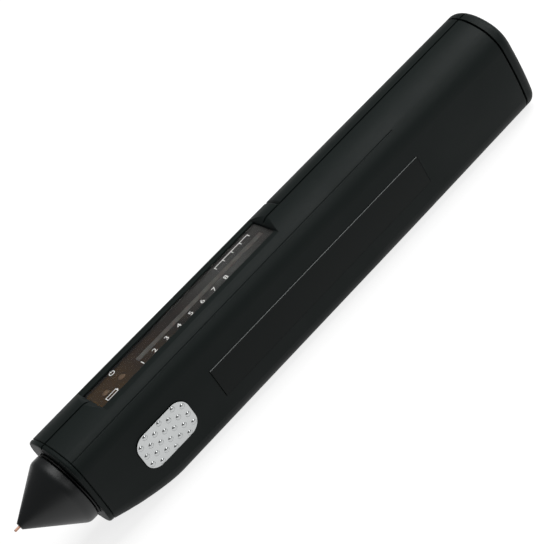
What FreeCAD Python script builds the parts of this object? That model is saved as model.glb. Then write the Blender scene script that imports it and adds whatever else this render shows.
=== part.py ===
import FreeCAD, Part

import math
import os

from FreeCAD import Vector

# Pen-shaped tester. X runs from the probe tip to the rear end, Y across it, Z up through the display.
# The left shell lies on -Y; the right shell and the battery cover lie on +Y.
# Lengths are in millimetres. Places along X are first counted from the tip, and the finished
# pieces are then moved so that the origin is the middle of the box's bottom.

# Overall lengths, from the tip to the rear
TIP_REACH = 1.45
CONE_LENGTH = 11.15
BAND_LENGTH = 2.3
NOSE_GAP = 0.2
FLANGE_THICKNESS = 0.3
NOSE_LIP = 1.0
BELLY_RUN = 18.0
MIDDLE_RUN = 77.4
TAIL_RUN = 37.5
RIM_LENGTH = 3.1

# Body across the pen
BODY_HEIGHT = 27.0
WALL = 1.8
CAVITY_SETBACK = 0.5
FRONT_RISE = 4.2
FRONT_RISE_POWER = 1.5
TAIL_RISE = 0.15
KEEL_TRIM = 0.05
RIM_ROUNDING = 1.9
RIM_STEPS = 5

# Places of the outlines between the nose and the belly, from the front of the body
BELLY_STATIONS = (3.0, 6.0, 9.5, 13.5)

# Lip around the nose, from the body outline forwards: shares of the lip's length and of the way in
# from the outline to the circle behind the collar
LIP_PROFILE = ((0.5, 0.015), (0.8, 0.07), (0.93, 0.16), (1.0, 1.0))

# Outline of one half at the front of the straight run: widths from the middle
FRONT_CROWN_RADIUS = 20.0
FRONT_CROWN_WIDTH = 7.4
FRONT_SHOULDER_WIDTH = 10.35
FRONT_CORNER_WIDTH = 7.6
FRONT_KEEL_WIDTH = 2.4

# The same at the rear
REAR_CROWN_RADIUS = 13.2
REAR_CROWN_WIDTH = 7.2
REAR_SHOULDER_WIDTH = 10.0
REAR_CORNER_WIDTH = 6.8
REAR_KEEL_WIDTH = 2.0

# Slope of the skin under the shoulder from upright, and most turn of the lower corner, in degrees
SIDE_LEAN = 6.0
CORNER_RISE = 4.0
CORNER_TURN = 37.0

# Grooves in the skin
LINE_WIDTH = 0.65
LINE_DEPTH = 0.85
RING_WIDTH = 0.5
NOSE_LINE_PLACE = 0.25
NOSE_LINE_WIDTH = 0.4
NOSE_LINE_DEPTH = 0.32
CREASE_FRONT_WIDTH = 9.2
CREASE_REAR_WIDTH = 8.3
CREASE_END = 118.0
CREASE_CUT_HEIGHT = 19.0
CREASE_LINE_WIDTH = 0.2
CREASE_LINE_DEPTH = 0.12
SEAM_PLACE = 89.9
SEAM_WIDTH = 1.0
SEAM_DEPTH = 0.35
SEAM_GAP = 0.1

# Nose
NOSE_DROP = 11.2
NOSE_RADIUS = 8.9
NOSE_EDGE = 0.35
RIDGE_ROUNDING = 2.4
SHELL_NOSE_RADIUS = 9.1
PROBE_RISE = 1.5
CONE_TIP_RADIUS = 0.9
SOCKET_DEPTH = 4.0
SOCKET_RADIUS = 6.1
NECK_CLEARANCE = 0.1
COLLAR_FLANGE_RADIUS = 8.85
COLLAR_LIP_RADIUS = 7.3
COLLAR_LIP_THICKNESS = 1.5
FRONT_WALL = 2.2

# Probe
TIP_RADIUS = 0.3
TIP_LENGTH = 9.0
TIP_CHAMFER = 0.1
HOLDER_RADIUS = 1.2
HOLDER_LENGTH = 17.0
HOLDER_START = 4.9
HOLDER_GAP = 0.5
SHOULDER_RADIUS = 1.95
SHOULDER_PLACE = 8.7
SHOULDER_LENGTH = 1.0
FIT = 0.03
CHANNEL_CLEARANCE = 0.25
STOP_GAP = 0.1
BUSH_MARGIN = 0.5
BUSH_LENGTH = 6.0
HEATER_RADIUS = 1.5
HEATER_LENGTH = 4.0
LEAD_RADIUS = 0.3
LEAD_SPACING = 1.8
LEAD_SAG = 0.9
PROBE_TRAVEL = 1.35
SPRING_WIRE_RADIUS = 0.15
SPRING_TURNS = 5
CONNECTOR = Vector(4.0, 5.0, 3.2)
CONNECTOR_SETBACK = 1.5

# Display
LAND_DROP = 1.2
WINDOW_START = 30.4
WINDOW_LENGTH = 53.6
WINDOW_WIDTH = 9.2
WINDOW_GAP = 0.06
RAMP_LENGTH = 2.2
LENS_THICKNESS = 1.05
LENS_RECESS = 0.25
LENS_EDGE = 0.08
LEDGE = 1.0
LEDGE_THICKNESS = 0.85
FRAME_MARGIN = 1.5
MASK_THICKNESS = 0.4
MASK_GAP = 0.05
MASK_CLEARANCE = 0.1
BAR_START = 43.7
BAR_LENGTH = 39.0
BAR_WIDTH = 1.6
BAR_FOOT = 1.2
LAMP_RADIUS = 0.95
LAMP_ROUNDING = 0.25
LAMP_PLACES = (33.9, 38.7)
CHIP_COUNT = 12
CHIP_MARGIN = 1.0
CHIP = Vector(1.6, 1.2, 0.6)

# Board and what it carries
BOARD_START = 28.4
BOARD_LENGTH = 55.0
BOARD_WIDTH = 14.4
BOARD_THICKNESS = 1.2
BOARD_DROP = 8.1
BOARD_GAP = 0.1
RAIL_LENGTH = 2.0
RAIL_OVERLAP = 0.9
RAIL_THICKNESS = 1.0
RAIL_PLACES = (31.0, 53.0, 77.5)
BUZZER_RADIUS = 5.5
BUZZER_HEIGHT = 3.4
BUZZER_PLACE = 74.6
BUZZER_HOLE_RADIUS = 1.0
BUZZER_HOLE_DEPTH = 1.0
CONTROLLER = Vector(9.0, 9.0, 1.6)
CONTROLLER_PLACE = 48.5
CAPACITOR_RADIUS = 2.0
CAPACITOR_LENGTH = 6.5
CAPACITOR_PLACE = 37.0
RESISTOR = Vector(2.0, 1.0, 0.5)
RESISTOR_COUNT = 6
RESISTOR_PITCH = 1.9
RESISTOR_PLACE = 57.0

# Power switch, on the right side
SWITCH_CASE = Vector(9.0, 4.0, 3.8)
SWITCH_PLACE = 60.0
SWITCH_SETBACK = 0.4
SWITCH_TRAVEL = 3.0
SLIDER_WIDTH = 2.0
SLIDER_HEIGHT = 1.4
SLIDER_REACH = 1.0
KNOB_LENGTH = 7.0
KNOB_HEIGHT = 4.2
KNOB_CORNER = 0.8
KNOB_PROUD = 0.5
KNOB_POCKET_DEPTH = 0.9
KNOB_POCKET_CORNER = 1.0
KNOB_CLEARANCE = 0.2
KNOB_RIDGES = 5
KNOB_RIDGE_PITCH = 1.1
KNOB_RIDGE_DEPTH = 0.3
SLOT_MARGIN = 0.3

# Finger plates
PLATE_START = 28.8
PLATE_LENGTH = 15.0
PLATE_TOP_DROP = 9.75
PLATE_HEIGHT = 9.55
PLATE_CORNER = 3.2
PLATE_PROUD = 0.25
PLATE_DEPTH = 0.45
PLATE_GAP = 0.15
DOME_PITCH = 2.1
DOME_SPREAD = 2.66
DOME_HEIGHT = 0.38
DOME_RADIUS = 0.68
DOME_SEAT = 0.3
DOME_ROWS = (3, 4, 3, 4, 3, 4, 3)
TAB_WIDTH = 2.0
TAB_HEIGHT = 0.8
TAB_REACH = 0.9
STRIP_THICKNESS = 0.25

# Label plate
LABEL_START = 52.0
LABEL_LENGTH = 66.5
LABEL_TOP_DROP = 11.05
LABEL_HEIGHT = 8.05
LABEL_PROUD = 0.15
LABEL_DEPTH = 0.35
LABEL_GAP = 0.12

# Batteries
CELL_LENGTH = 44.5
CELL_SPACING = 0.3
CELL_HEADROOM = 1.05
CAN_ROUNDING = 0.4
NUB_RADIUS = 1.9
NUB_LENGTH = 0.8
NUB_ROOT = 0.1
CONTACT_THICKNESS = 0.4
CONTACT_WIDTH = 8.0
CONTACT_HEIGHT = 9.0
BULKHEAD_START = 92.4
BULKHEAD_THICKNESS = 2.4
BULKHEAD_REACH = 4.5
BULKHEAD_GAP = 0.3
CELL_SPRING_LENGTH = 4.0
CELL_SPRING_WIRE_RADIUS = 0.3
CELL_SPRING_BASE = 3.7
CELL_SPRING_TOP = 2.2
CELL_SPRING_TURNS = 3
SPRING_END_GAP = 0.05
TONGUE_THICKNESS = 0.6
TONGUE_WIDTH = 1.5
TONGUE_LENGTH = 30.0
TONGUE_START = 98.0
TONGUE_GAP = 0.15
LATCH_WIDTH = 5.0
LATCH_REACH = 1.5
LATCH_THICKNESS = 1.0
LATCH_ROOT = 3.0
WIRE_RADIUS = 0.55
WIRE_BEND = 1.4
WIRE_SPACING = 4.4
WIRE_RUN = 2.2

# Screws
SCREW_FRONT_PLACE = 25.6
SCREW_FRONT_RISE = 7.0
SCREW_REAR_PLACE = 85.0
SCREW_REAR_RISE = 6.2
SCREW_BOARD_DROP = 4.1
SCREW_HEAD_RADIUS = 1.9
SCREW_HEAD_HEIGHT = 1.4
SCREW_HEAD_DEPTH = 2.2
SCREW_RADIUS = 1.0
SCREW_BITE = 5.0
SCREW_END_GAP = 0.5
SCREW_CLEARANCE = 0.2
SCREW_SLOT = Vector(2.6, 0.7, 0.6)
BOSS_WALL = 1.3
HEAD_BOSS_WALL = 0.8

# Places along the pen that follow from the lengths
BAND_X = TIP_REACH + CONE_LENGTH
CONE_REAR_X = BAND_X + BAND_LENGTH
FLANGE_X = CONE_REAR_X + NOSE_GAP
SHELL_X = FLANGE_X + FLANGE_THICKNESS + NOSE_GAP
BODY_X = SHELL_X + NOSE_LIP
BELLY_X = BODY_X + BELLY_RUN
TAIL_X = BELLY_X + MIDDLE_RUN
GROOVE_X = TAIL_X + TAIL_RUN
REAR_X = GROOVE_X + RIM_LENGTH
CAVITY_X = SHELL_X + FRONT_WALL
CAVITY_END_X = GROOVE_X - CAVITY_SETBACK
WINDOW_END = WINDOW_START + WINDOW_LENGTH

# Heights that follow from the drops
NOSE_HEIGHT = BODY_HEIGHT - NOSE_DROP
PROBE_HEIGHT = NOSE_HEIGHT + PROBE_RISE
BOARD_HEIGHT = BODY_HEIGHT - BOARD_DROP
CELL_HEIGHT = BODY_HEIGHT / 2
CELL_RADIUS = (BODY_HEIGHT - 2 * WALL - 2 * CELL_HEADROOM - CELL_SPACING) / 4
LAND_Z = BODY_HEIGHT - LAND_DROP
LENS_TOP = LAND_Z - LENS_RECESS
LENS_BOTTOM = LENS_TOP - LENS_THICKNESS
MASK_TOP = LENS_BOTTOM - MASK_GAP
SEAT_Z = MASK_TOP - MASK_THICKNESS
FRAME_BOTTOM = SEAT_Z - LEDGE_THICKNESS
BOARD_TOP = BOARD_HEIGHT + BOARD_THICKNESS

# Screws as places along the pen and heights
SCREW_PLACES = (
    (SCREW_FRONT_PLACE, SCREW_FRONT_RISE),
    (SCREW_REAR_PLACE, SCREW_REAR_RISE),
    (SCREW_REAR_PLACE, BOARD_HEIGHT - SCREW_BOARD_DROP),
)

# Reach of a cutter past every piece, and past a face that it opens
BIG = 60.0
OVER = 1.0


def blend(a, b, share):
    """Value between a and b."""
    return a + (b - a) * share


def belly(x):
    """Height of the underside at x, before the keel is trimmed flat: it rises to the nose and the tail."""
    if x < BELLY_X:
        return FRONT_RISE * ((BELLY_X - x) / BELLY_RUN) ** FRONT_RISE_POWER - KEEL_TRIM
    if x > TAIL_X:
        return TAIL_RISE * (x - TAIL_X) / TAIL_RUN - KEEL_TRIM
    return -KEEL_TRIM


def bulged(start, end, turn):
    """Middle point of an arc from start to end that turns by twice the given angle, outwards."""
    chord = end.sub(start)
    outward = Vector(0, -chord.z, chord.y)
    outward.normalize()
    rise = chord.Length / 2 * math.tan(math.radians(turn) / 2)
    return start.add(end).multiply(0.5).add(outward.multiply(rise))


def heading(start, end):
    """Direction from start to end across the pen, in degrees down from level."""
    return math.degrees(math.atan2(start.z - end.z, end.y - start.y))


def arc_centre(a, b, c):
    """Centre of the circle through three points."""
    return Part.Arc(a, b, c).toShape().Curve.Center


def half_outline(x):
    """Arcs of the half outline on +Y at x, from crown to keel, as (start, middle, end)."""
    share = min(max((x - BELLY_X) / (GROOVE_X - BELLY_X), 0.0), 1.0)
    radius = blend(FRONT_CROWN_RADIUS, REAR_CROWN_RADIUS, share)
    crown_y = blend(FRONT_CROWN_WIDTH, REAR_CROWN_WIDTH, share)
    shoulder_y = blend(FRONT_SHOULDER_WIDTH, REAR_SHOULDER_WIDTH, share)
    corner_y = blend(FRONT_CORNER_WIDTH, REAR_CORNER_WIDTH, share)
    keel_y = blend(FRONT_KEEL_WIDTH, REAR_KEEL_WIDTH, share)
    keel_z = belly(x)
    slope = math.asin(crown_y / radius)
    lean = math.radians(90 + SIDE_LEAN)
    round_radius = (shoulder_y - crown_y) / (math.sin(lean) - math.sin(slope))
    round_y = crown_y - round_radius * math.sin(slope)
    round_z = BODY_HEIGHT - radius + (radius - round_radius) * math.cos(slope)

    def on_crown(angle):
        return Vector(x, radius * math.sin(angle), BODY_HEIGHT - radius * (1 - math.cos(angle)))

    def on_round(angle):
        return Vector(x, round_y + round_radius * math.sin(angle), round_z + round_radius * math.cos(angle))

    shoulder = on_round(lean)
    corner = Vector(x, corner_y, keel_z + CORNER_RISE)
    keel = Vector(x, keel_y, keel_z)
    side_turn = heading(shoulder, corner) - 90 - SIDE_LEAN
    corner_turn = min(CORNER_TURN, heading(corner, keel) - heading(shoulder, corner) - side_turn)
    return [
        (on_crown(0), on_crown(slope / 2), on_crown(slope)),
        (on_crown(slope), on_round((slope + lean) / 2), shoulder),
        (shoulder, bulged(shoulder, corner, side_turn), corner),
        (corner, bulged(corner, keel, corner_turn), keel),
    ]


def inset_outline(x, inset):
    """Half outline at x moved inwards by inset, or outwards where inset is negative."""
    arcs = half_outline(x)
    centres = [arc_centre(*arc) for arc in arcs]

    def outward(index, point):
        direction = point.sub(centres[index])
        direction.normalize()
        return direction

    down = Vector(0, 0, -1)
    up = Vector(0, 0, 1)
    corners = [arcs[0][0].sub(up.multiply(inset))]
    for index, arc in enumerate(arcs):
        before = outward(index, arc[2])
        after = outward(index + 1, arc[2]) if index + 1 < len(arcs) else down
        middle = before.add(after)
        middle.normalize()
        corners.append(arc[2].sub(middle.multiply(inset / middle.dot(before))))
    middles = [arc[1].sub(outward(index, arc[1]).multiply(inset)) for index, arc in enumerate(arcs)]
    return [(corners[i], middles[i], corners[i + 1]) for i in range(len(arcs))]


def mirrored(point):
    """The same point on the other side of the middle."""
    return Vector(point.x, -point.y, point.z)


def moved(point, x):
    """The same point at another x."""
    return Vector(x, point.y, point.z)


def section(x, inset=0.0, outline_x=None):
    """Closed outline wire at x, taken from the outline at outline_x."""
    arcs = inset_outline(x if outline_x is None else outline_x, inset)
    arcs = [tuple(moved(point, x) for point in arc) for arc in arcs]
    edges = [Part.Arc(*(mirrored(point) for point in arc)).toShape() for arc in arcs]
    edges.append(Part.makeLine(mirrored(arcs[-1][2]), arcs[-1][2]))
    edges += [Part.Arc(arc[2], arc[1], arc[0]).toShape() for arc in reversed(arcs)]
    return Part.Wire(edges)


def side_width(x, z):
    """Distance of the skin from the middle plane at x and height z, on the side below the shoulder."""
    start, middle, end = half_outline(x)[2]
    centre = arc_centre(start, middle, end)
    radius = centre.distanceToPoint(start)
    return centre.y + math.sqrt(radius ** 2 - (z - centre.z) ** 2)


def body_block(inset=0.0, start=None, end=None):
    """Solid body between two places along the pen, its skin moved inwards by inset."""
    start = BODY_X if start is None else start
    end = GROOVE_X if end is None else end
    stations = [BODY_X + reach for reach in BELLY_STATIONS]
    places = [start] + [x for x in stations if x > start + OVER] + [BELLY_X]
    nose = Part.makeLoft([section(x, inset) for x in places], True, False)
    middle = Part.makeLoft([section(BELLY_X, inset), section(TAIL_X, inset)], True, True)
    tail = Part.makeLoft([section(TAIL_X, inset), section(end, inset)], True, True)
    return nose.fuse([middle, tail])


def inner_block(inset):
    """Block as long as the cavity, its skin moved inwards by inset."""
    return body_block(inset, CAVITY_X, CAVITY_END_X)


def rim_block(inset=0.0):
    """Rounded rear end behind the rear groove."""
    wires = []
    for step in range(RIM_STEPS + 1):
        angle = math.radians(90 * step / RIM_STEPS)
        x = REAR_X - inset - RIM_ROUNDING * (1 - math.sin(angle))
        wires.append(section(x, inset + RIM_ROUNDING * (1 - math.cos(angle)), GROOVE_X))
    rounding = Part.makeLoft(wires, True, False)
    straight = Part.makeLoft([section(GROOVE_X, inset), wires[0]], True, True)
    return straight.fuse(rounding)


def nose_wire(x, share, inset):
    """Outline between the body outline, as share nears 0, and the front circle, where share is 1."""
    outline = section(BODY_X, inset)
    centre = Vector(BODY_X, 0, NOSE_HEIGHT)

    def between(point):
        direction = point.sub(centre)
        direction.normalize()
        return moved(blend(point, centre.add(direction.multiply(SHELL_NOSE_RADIUS)), share), x)

    edges = []
    for edge in outline.OrderedEdges:
        first, last = edge.FirstParameter, edge.LastParameter
        ends = [edge.valueAt(blend(first, last, place)) for place in (0, 0.5, 1)]
        edges.append(Part.Arc(*(between(point) for point in ends)).toShape())
    return Part.Wire(edges)


def nose_block(inset=0.0):
    """Front lip of the housing, from the body outline to the circle behind the collar."""
    wires = [section(BODY_X, inset)]
    for reach, share in LIP_PROFILE:
        wires.append(nose_wire(blend(BODY_X, SHELL_X + inset, reach), share, inset))
    return Part.makeLoft(wires, True, True)


def outer_block(inset=0.0):
    """Whole housing as a solid block, with a flat keel to rest on."""
    block = body_block(inset).fuse([nose_block(inset), rim_block(inset)])
    return block.cut(slab(0, REAR_X + OVER, z1=0))


def box(low, high):
    """Box between two corners."""
    size = high.sub(low)
    return Part.makeBox(size.x, size.y, size.z, low)


def slab(x0, x1, y0=-BIG, y1=BIG, z0=-BIG, z1=BIG):
    """Box between two places along the pen, open in the other directions unless given."""
    return box(Vector(x0, y0, z0), Vector(x1, y1, z1))


def rod(x, length, radius, y=0.0, z=0.0):
    """Round bar along the pen."""
    return Part.makeCylinder(radius, length, Vector(x, y, z), Vector(1, 0, 0))


def cross_rod(x, z, y0, y1, radius):
    """Round bar across the pen."""
    return Part.makeCylinder(radius, y1 - y0, Vector(x, y0, z), Vector(0, 1, 0))


def ring_groove(x, width, depth):
    """Cutter for a V-shaped groove round the body at x."""
    low = section(x - width / 2, -0.01)
    floor = section(x, depth)
    high = section(x + width / 2, -0.01)
    kept = Part.makeLoft([low, floor, high], True, True)
    return slab(x - width / 2, x + width / 2).cut(kept)


def line_grooves(floor_block):
    """Cutters over the floor block's skin: the line where the halves meet and the ring before the rim."""
    half = LINE_WIDTH / 2
    strip = slab(SHELL_X - OVER, REAR_X + OVER, -half, half, -OVER, BODY_HEIGHT + OVER)
    ring = slab(GROOVE_X - RING_WIDTH / 2, GROOVE_X + RING_WIDTH / 2)
    return [strip.cut(floor_block), ring.cut(floor_block)]


def crease_lines():
    """Cutters for the fine lines along both shoulders."""
    floor = body_block(CREASE_LINE_DEPTH)
    half = CREASE_LINE_WIDTH / 2
    lines = []
    for side in (-1, 1):
        points = [
            Vector(BODY_X, side * CREASE_FRONT_WIDTH - half, CREASE_CUT_HEIGHT),
            Vector(CREASE_END, side * CREASE_REAR_WIDTH - half, CREASE_CUT_HEIGHT),
            Vector(CREASE_END, side * CREASE_REAR_WIDTH + half, CREASE_CUT_HEIGHT),
            Vector(BODY_X, side * CREASE_FRONT_WIDTH + half, CREASE_CUT_HEIGHT),
        ]
        face = Part.Face(Part.makePolygon(points + points[:1]))
        lines.append(face.extrude(Vector(0, 0, BODY_HEIGHT)).cut(floor))
    return lines


def window_land():
    """Cutter for the flat on top that holds the lens, with a rounded ramp at each end."""
    radius = (RAMP_LENGTH ** 2 + LAND_DROP ** 2) / (2 * LAND_DROP)
    half_angle = math.asin(RAMP_LENGTH / radius) / 2
    dx = radius * math.sin(half_angle)
    middle_z = BODY_HEIGHT - radius * (1 - math.cos(half_angle))
    first = WINDOW_START - RAMP_LENGTH
    last = WINDOW_END + RAMP_LENGTH

    def at(x, z):
        return Vector(x, -BIG / 2, z)

    land_front = at(WINDOW_START, LAND_Z)
    land_rear = at(WINDOW_END, LAND_Z)
    top = BODY_HEIGHT + LAND_DROP
    corners = [at(last, BODY_HEIGHT), at(last, top), at(first, top), at(first, BODY_HEIGHT)]
    edges = [
        Part.Arc(corners[-1], at(first + dx, middle_z), land_front).toShape(),
        Part.makeLine(land_front, land_rear),
        Part.Arc(land_rear, at(last - dx, middle_z), corners[0]).toShape(),
    ]
    edges += [Part.makeLine(a, b) for a, b in zip(corners, corners[1:])]
    return Part.Face(Part.Wire(edges)).extrude(Vector(0, BIG, 0))


def lens_box(margin, z0, z1):
    """Box round the lens, larger by margin in plan."""
    half = WINDOW_WIDTH / 2 + margin
    return slab(WINDOW_START - margin, WINDOW_END + margin, -half, half, z0, z1)


def rounded_prism(x0, length, z0, height, corner, y0, y1):
    """Rounded rectangle seen along Y, as a prism from y0 to y1."""
    prism = box(Vector(x0, y0, z0), Vector(x0 + length, y1, z0 + height))
    upright = [e for e in prism.Edges if abs(e.Vertexes[0].Y - e.Vertexes[1].Y) > (y1 - y0) / 2]
    return prism.makeFillet(corner, upright)


def plate_prism(gap, side):
    """Outline of a finger plate, larger by gap, on the side given as -1 or 1."""
    z0 = BODY_HEIGHT - PLATE_TOP_DROP - PLATE_HEIGHT - gap
    y0, y1 = (0.0, BIG) if side > 0 else (-BIG, 0.0)
    return rounded_prism(
        PLATE_START - gap, PLATE_LENGTH + 2 * gap, z0, PLATE_HEIGHT + 2 * gap, PLATE_CORNER + gap, y0, y1
    )


def plate_centre():
    """Middle of a finger plate as x and z."""
    return PLATE_START + PLATE_LENGTH / 2, BODY_HEIGHT - PLATE_TOP_DROP - PLATE_HEIGHT / 2


def tab_end_width():
    """Distance of the end of a plate's tab from the middle plane."""
    x, z = plate_centre()
    return side_width(x, z) - WALL - TAB_REACH


def tab_box(gap, side):
    """Tab that leads from a finger plate through the wall."""
    x, z = plate_centre()
    inner = tab_end_width() - gap
    outer = side_width(x, z) - PLATE_DEPTH / 2
    y0, y1 = (inner, outer) if side > 0 else (-outer, -inner)
    half = TAB_WIDTH / 2 + gap
    rise = TAB_HEIGHT / 2 + gap
    return box(Vector(x - half, y0, z - rise), Vector(x + half, y1, z + rise))


def domes(side):
    """Round bumps in staggered rows over a finger plate, each seated in its sheet."""
    cx, cz = plate_centre()
    ball_radius = (DOME_RADIUS ** 2 + DOME_HEIGHT ** 2) / (2 * DOME_HEIGHT)
    seat_angle = math.degrees(math.asin((ball_radius - DOME_HEIGHT - DOME_SEAT) / ball_radius))
    caps = []
    for row, count in enumerate(DOME_ROWS):
        x = cx + (row - (len(DOME_ROWS) - 1) / 2) * DOME_PITCH
        for index in range(count):
            z = cz + (index - (count - 1) / 2) * DOME_SPREAD
            y = side_width(x, z) + PLATE_PROUD + DOME_HEIGHT - ball_radius
            out = Vector(0, side, 0)
            caps.append(Part.makeSphere(ball_radius, Vector(x, side * y, z), out, seat_angle, 90))
    return caps


def finger_plate(side, proud, deep):
    """Metal plate on one side: a sheet that follows the skin, its bumps and its tab."""
    prism = plate_prism(0.0, side)
    sheet = proud.cut(deep).common(prism)
    caps = [cap.common(prism) for cap in domes(side)]
    return sheet.fuse(caps + [tab_box(0.0, side)]).removeSplitter()


def label_prism(gap):
    """Outline of the label plate on the left side, larger by gap."""
    z0 = BODY_HEIGHT - LABEL_TOP_DROP - LABEL_HEIGHT - gap
    return box(
        Vector(LABEL_START - gap, -BIG, z0),
        Vector(LABEL_START + LABEL_LENGTH + gap, 0, z0 + LABEL_HEIGHT + 2 * gap),
    )


def screw_seat(x, z):
    """Distance from the middle plane to the face under a screw's head."""
    return side_width(x, z) - SCREW_HEAD_DEPTH


def head_bosses():
    """Tubes in the right shell that the screws pass through."""
    return [
        cross_rod(x, z, 0, side_width(x, z), SCREW_HEAD_RADIUS + SCREW_CLEARANCE + HEAD_BOSS_WALL)
        for x, z in SCREW_PLACES
    ]


def head_holes():
    """Clearance holes and counterbores for the screws in the right shell."""
    holes = []
    for x, z in SCREW_PLACES:
        holes.append(cross_rod(x, z, -OVER, BIG, SCREW_RADIUS + SCREW_CLEARANCE))
        holes.append(cross_rod(x, z, screw_seat(x, z), BIG, SCREW_HEAD_RADIUS + SCREW_CLEARANCE))
    return holes


def thread_bosses():
    """Posts in the left shell that the screws bite into."""
    return [cross_rod(x, z, -side_width(x, z), 0, SCREW_RADIUS + BOSS_WALL) for x, z in SCREW_PLACES]


def thread_holes():
    """Pilot holes for the screws in the left shell."""
    return [cross_rod(x, z, -SCREW_BITE - SCREW_END_GAP, OVER, SCREW_RADIUS + FIT) for x, z in SCREW_PLACES]


def housing_screws():
    """Slotted screws, put in from the right side."""
    screws = []
    for x, z in SCREW_PLACES:
        seat = screw_seat(x, z)
        head = cross_rod(x, z, seat, seat + SCREW_HEAD_HEIGHT, SCREW_HEAD_RADIUS)
        shank = cross_rod(x, z, -SCREW_BITE, seat, SCREW_RADIUS)
        top = seat + SCREW_HEAD_HEIGHT
        low = Vector(x - SCREW_SLOT.x / 2, top - SCREW_SLOT.z, z - SCREW_SLOT.y / 2)
        high = Vector(x + SCREW_SLOT.x / 2, top + OVER, z + SCREW_SLOT.y / 2)
        screws.append(head.fuse(shank).removeSplitter().cut(box(low, high)))
    return screws


def board_rails(side):
    """Short rails on the wall that hold the board's edge, with the board's slot cut in them."""
    inner = BOARD_WIDTH / 2 - RAIL_OVERLAP
    y0, y1 = (inner, BIG) if side > 0 else (-BIG, -inner)
    z0 = BOARD_HEIGHT - RAIL_THICKNESS
    z1 = BOARD_TOP + RAIL_THICKNESS
    half = BOARD_WIDTH / 2 + BOARD_GAP
    end = BOARD_START + BOARD_LENGTH
    slot = slab(BOARD_START - OVER, end + OVER, -half, half, BOARD_HEIGHT, BOARD_TOP + BOARD_GAP)
    return [slab(x, x + RAIL_LENGTH, y0, y1, z0, z1).cut(slot) for x in RAIL_PLACES]


def bulkhead_places():
    """Start of the front and rear bulkheads of the battery space."""
    front = BULKHEAD_START
    rear = front + BULKHEAD_THICKNESS + 2 * CONTACT_THICKNESS + CELL_LENGTH + CELL_SPRING_LENGTH
    return front, rear


def bulkheads():
    """Walls of the left shell that carry the battery contacts, clear of the cover."""
    inside = inner_block(WALL + BULKHEAD_GAP)
    walls = []
    for x in bulkhead_places():
        near = slab(x, x + BULKHEAD_THICKNESS, -BIG, 0)
        far = slab(x, x + BULKHEAD_THICKNESS, 0, BULKHEAD_REACH).common(inside)
        walls += [near, far]
    return walls


def cover_tongues(root):
    """Rails of the left shell, top and bottom, that reach behind the battery cover's edges."""
    outer = inner_block(WALL + TONGUE_GAP)
    inner = inner_block(WALL + TONGUE_GAP + TONGUE_THICKNESS)
    end = TONGUE_START + TONGUE_LENGTH
    reach = slab(TONGUE_START, end, 0, TONGUE_WIDTH)
    foot = slab(TONGUE_START, end, -TONGUE_WIDTH, 0)
    return [outer.cut(inner).common(reach), root.cut(inner).common(foot)]


def knob_centre():
    """Middle of the switch knob at rest, as x and z."""
    return SWITCH_PLACE + SWITCH_CASE.x / 2 + SWITCH_TRAVEL / 2, BOARD_HEIGHT - SWITCH_CASE.z / 2


def knob_face():
    """Distance of the knob's outer face from the middle plane."""
    x, z = knob_centre()
    return side_width(x, z) + KNOB_PROUD


def knob_floor():
    """Distance of the knob pocket's floor from the middle plane."""
    x, z = knob_centre()
    return side_width(x, z) - KNOB_POCKET_DEPTH


def switch_cutters():
    """Pocket and slot in the right shell for the knob and its stem."""
    x, z = knob_centre()
    length = KNOB_LENGTH + SWITCH_TRAVEL + 2 * SLOT_MARGIN
    height = KNOB_HEIGHT + 2 * SLOT_MARGIN
    x0 = x + KNOB_LENGTH / 2 + SLOT_MARGIN - length
    pocket = rounded_prism(x0, length, z - height / 2, height, KNOB_POCKET_CORNER, knob_floor(), BIG)
    slot_x0 = x - SLIDER_WIDTH / 2 - SWITCH_TRAVEL - SLOT_MARGIN
    slot_x1 = x + SLIDER_WIDTH / 2 + SLOT_MARGIN
    half = SLIDER_HEIGHT / 2 + SLOT_MARGIN
    slot = slab(slot_x0, slot_x1, SWITCH_CASE.y, BIG, z - half, z + half)
    return [pocket, slot]


def switch_case():
    """Fixed case of the slide switch, soldered under the board's right edge, with its actuator slot."""
    x0 = SWITCH_PLACE
    y1 = BOARD_WIDTH / 2 - SWITCH_SETBACK
    z1 = BOARD_HEIGHT
    case = box(Vector(x0, y1 - SWITCH_CASE.y, z1 - SWITCH_CASE.z), Vector(x0 + SWITCH_CASE.x, y1, z1))
    x, z = knob_centre()
    clear = SLIDER_WIDTH / 2 + SLOT_MARGIN
    half = SLIDER_HEIGHT / 2 + FIT
    return case.cut(slab(x - clear - SWITCH_TRAVEL, x + clear, y1 - SLIDER_REACH, BIG, z - half, z + half))


def switch_slider():
    """Actuator of the switch, from inside the case to inside the knob."""
    x, z = knob_centre()
    y0 = BOARD_WIDTH / 2 - SWITCH_SETBACK - SLIDER_REACH + FIT
    y1 = knob_floor() + KNOB_CLEARANCE
    half = SLIDER_HEIGHT / 2
    return slab(x - SLIDER_WIDTH / 2, x + SLIDER_WIDTH / 2, y0, y1, z - half, z + half)


def switch_knob():
    """Ribbed thumb piece that slides in its pocket."""
    x, z = knob_centre()
    y0 = knob_floor() + KNOB_CLEARANCE
    y1 = knob_face()
    low = x - KNOB_LENGTH / 2
    knob = rounded_prism(low, KNOB_LENGTH, z - KNOB_HEIGHT / 2, KNOB_HEIGHT, KNOB_CORNER, y0, y1)
    cuts = []
    for index in range(KNOB_RIDGES):
        middle = x + (index - (KNOB_RIDGES - 1) / 2) * KNOB_RIDGE_PITCH
        cuts.append(
            slab(middle - KNOB_RIDGE_PITCH / 4, middle + KNOB_RIDGE_PITCH / 4, y1 - KNOB_RIDGE_DEPTH, BIG)
        )
    return knob.cut(cuts)


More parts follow.
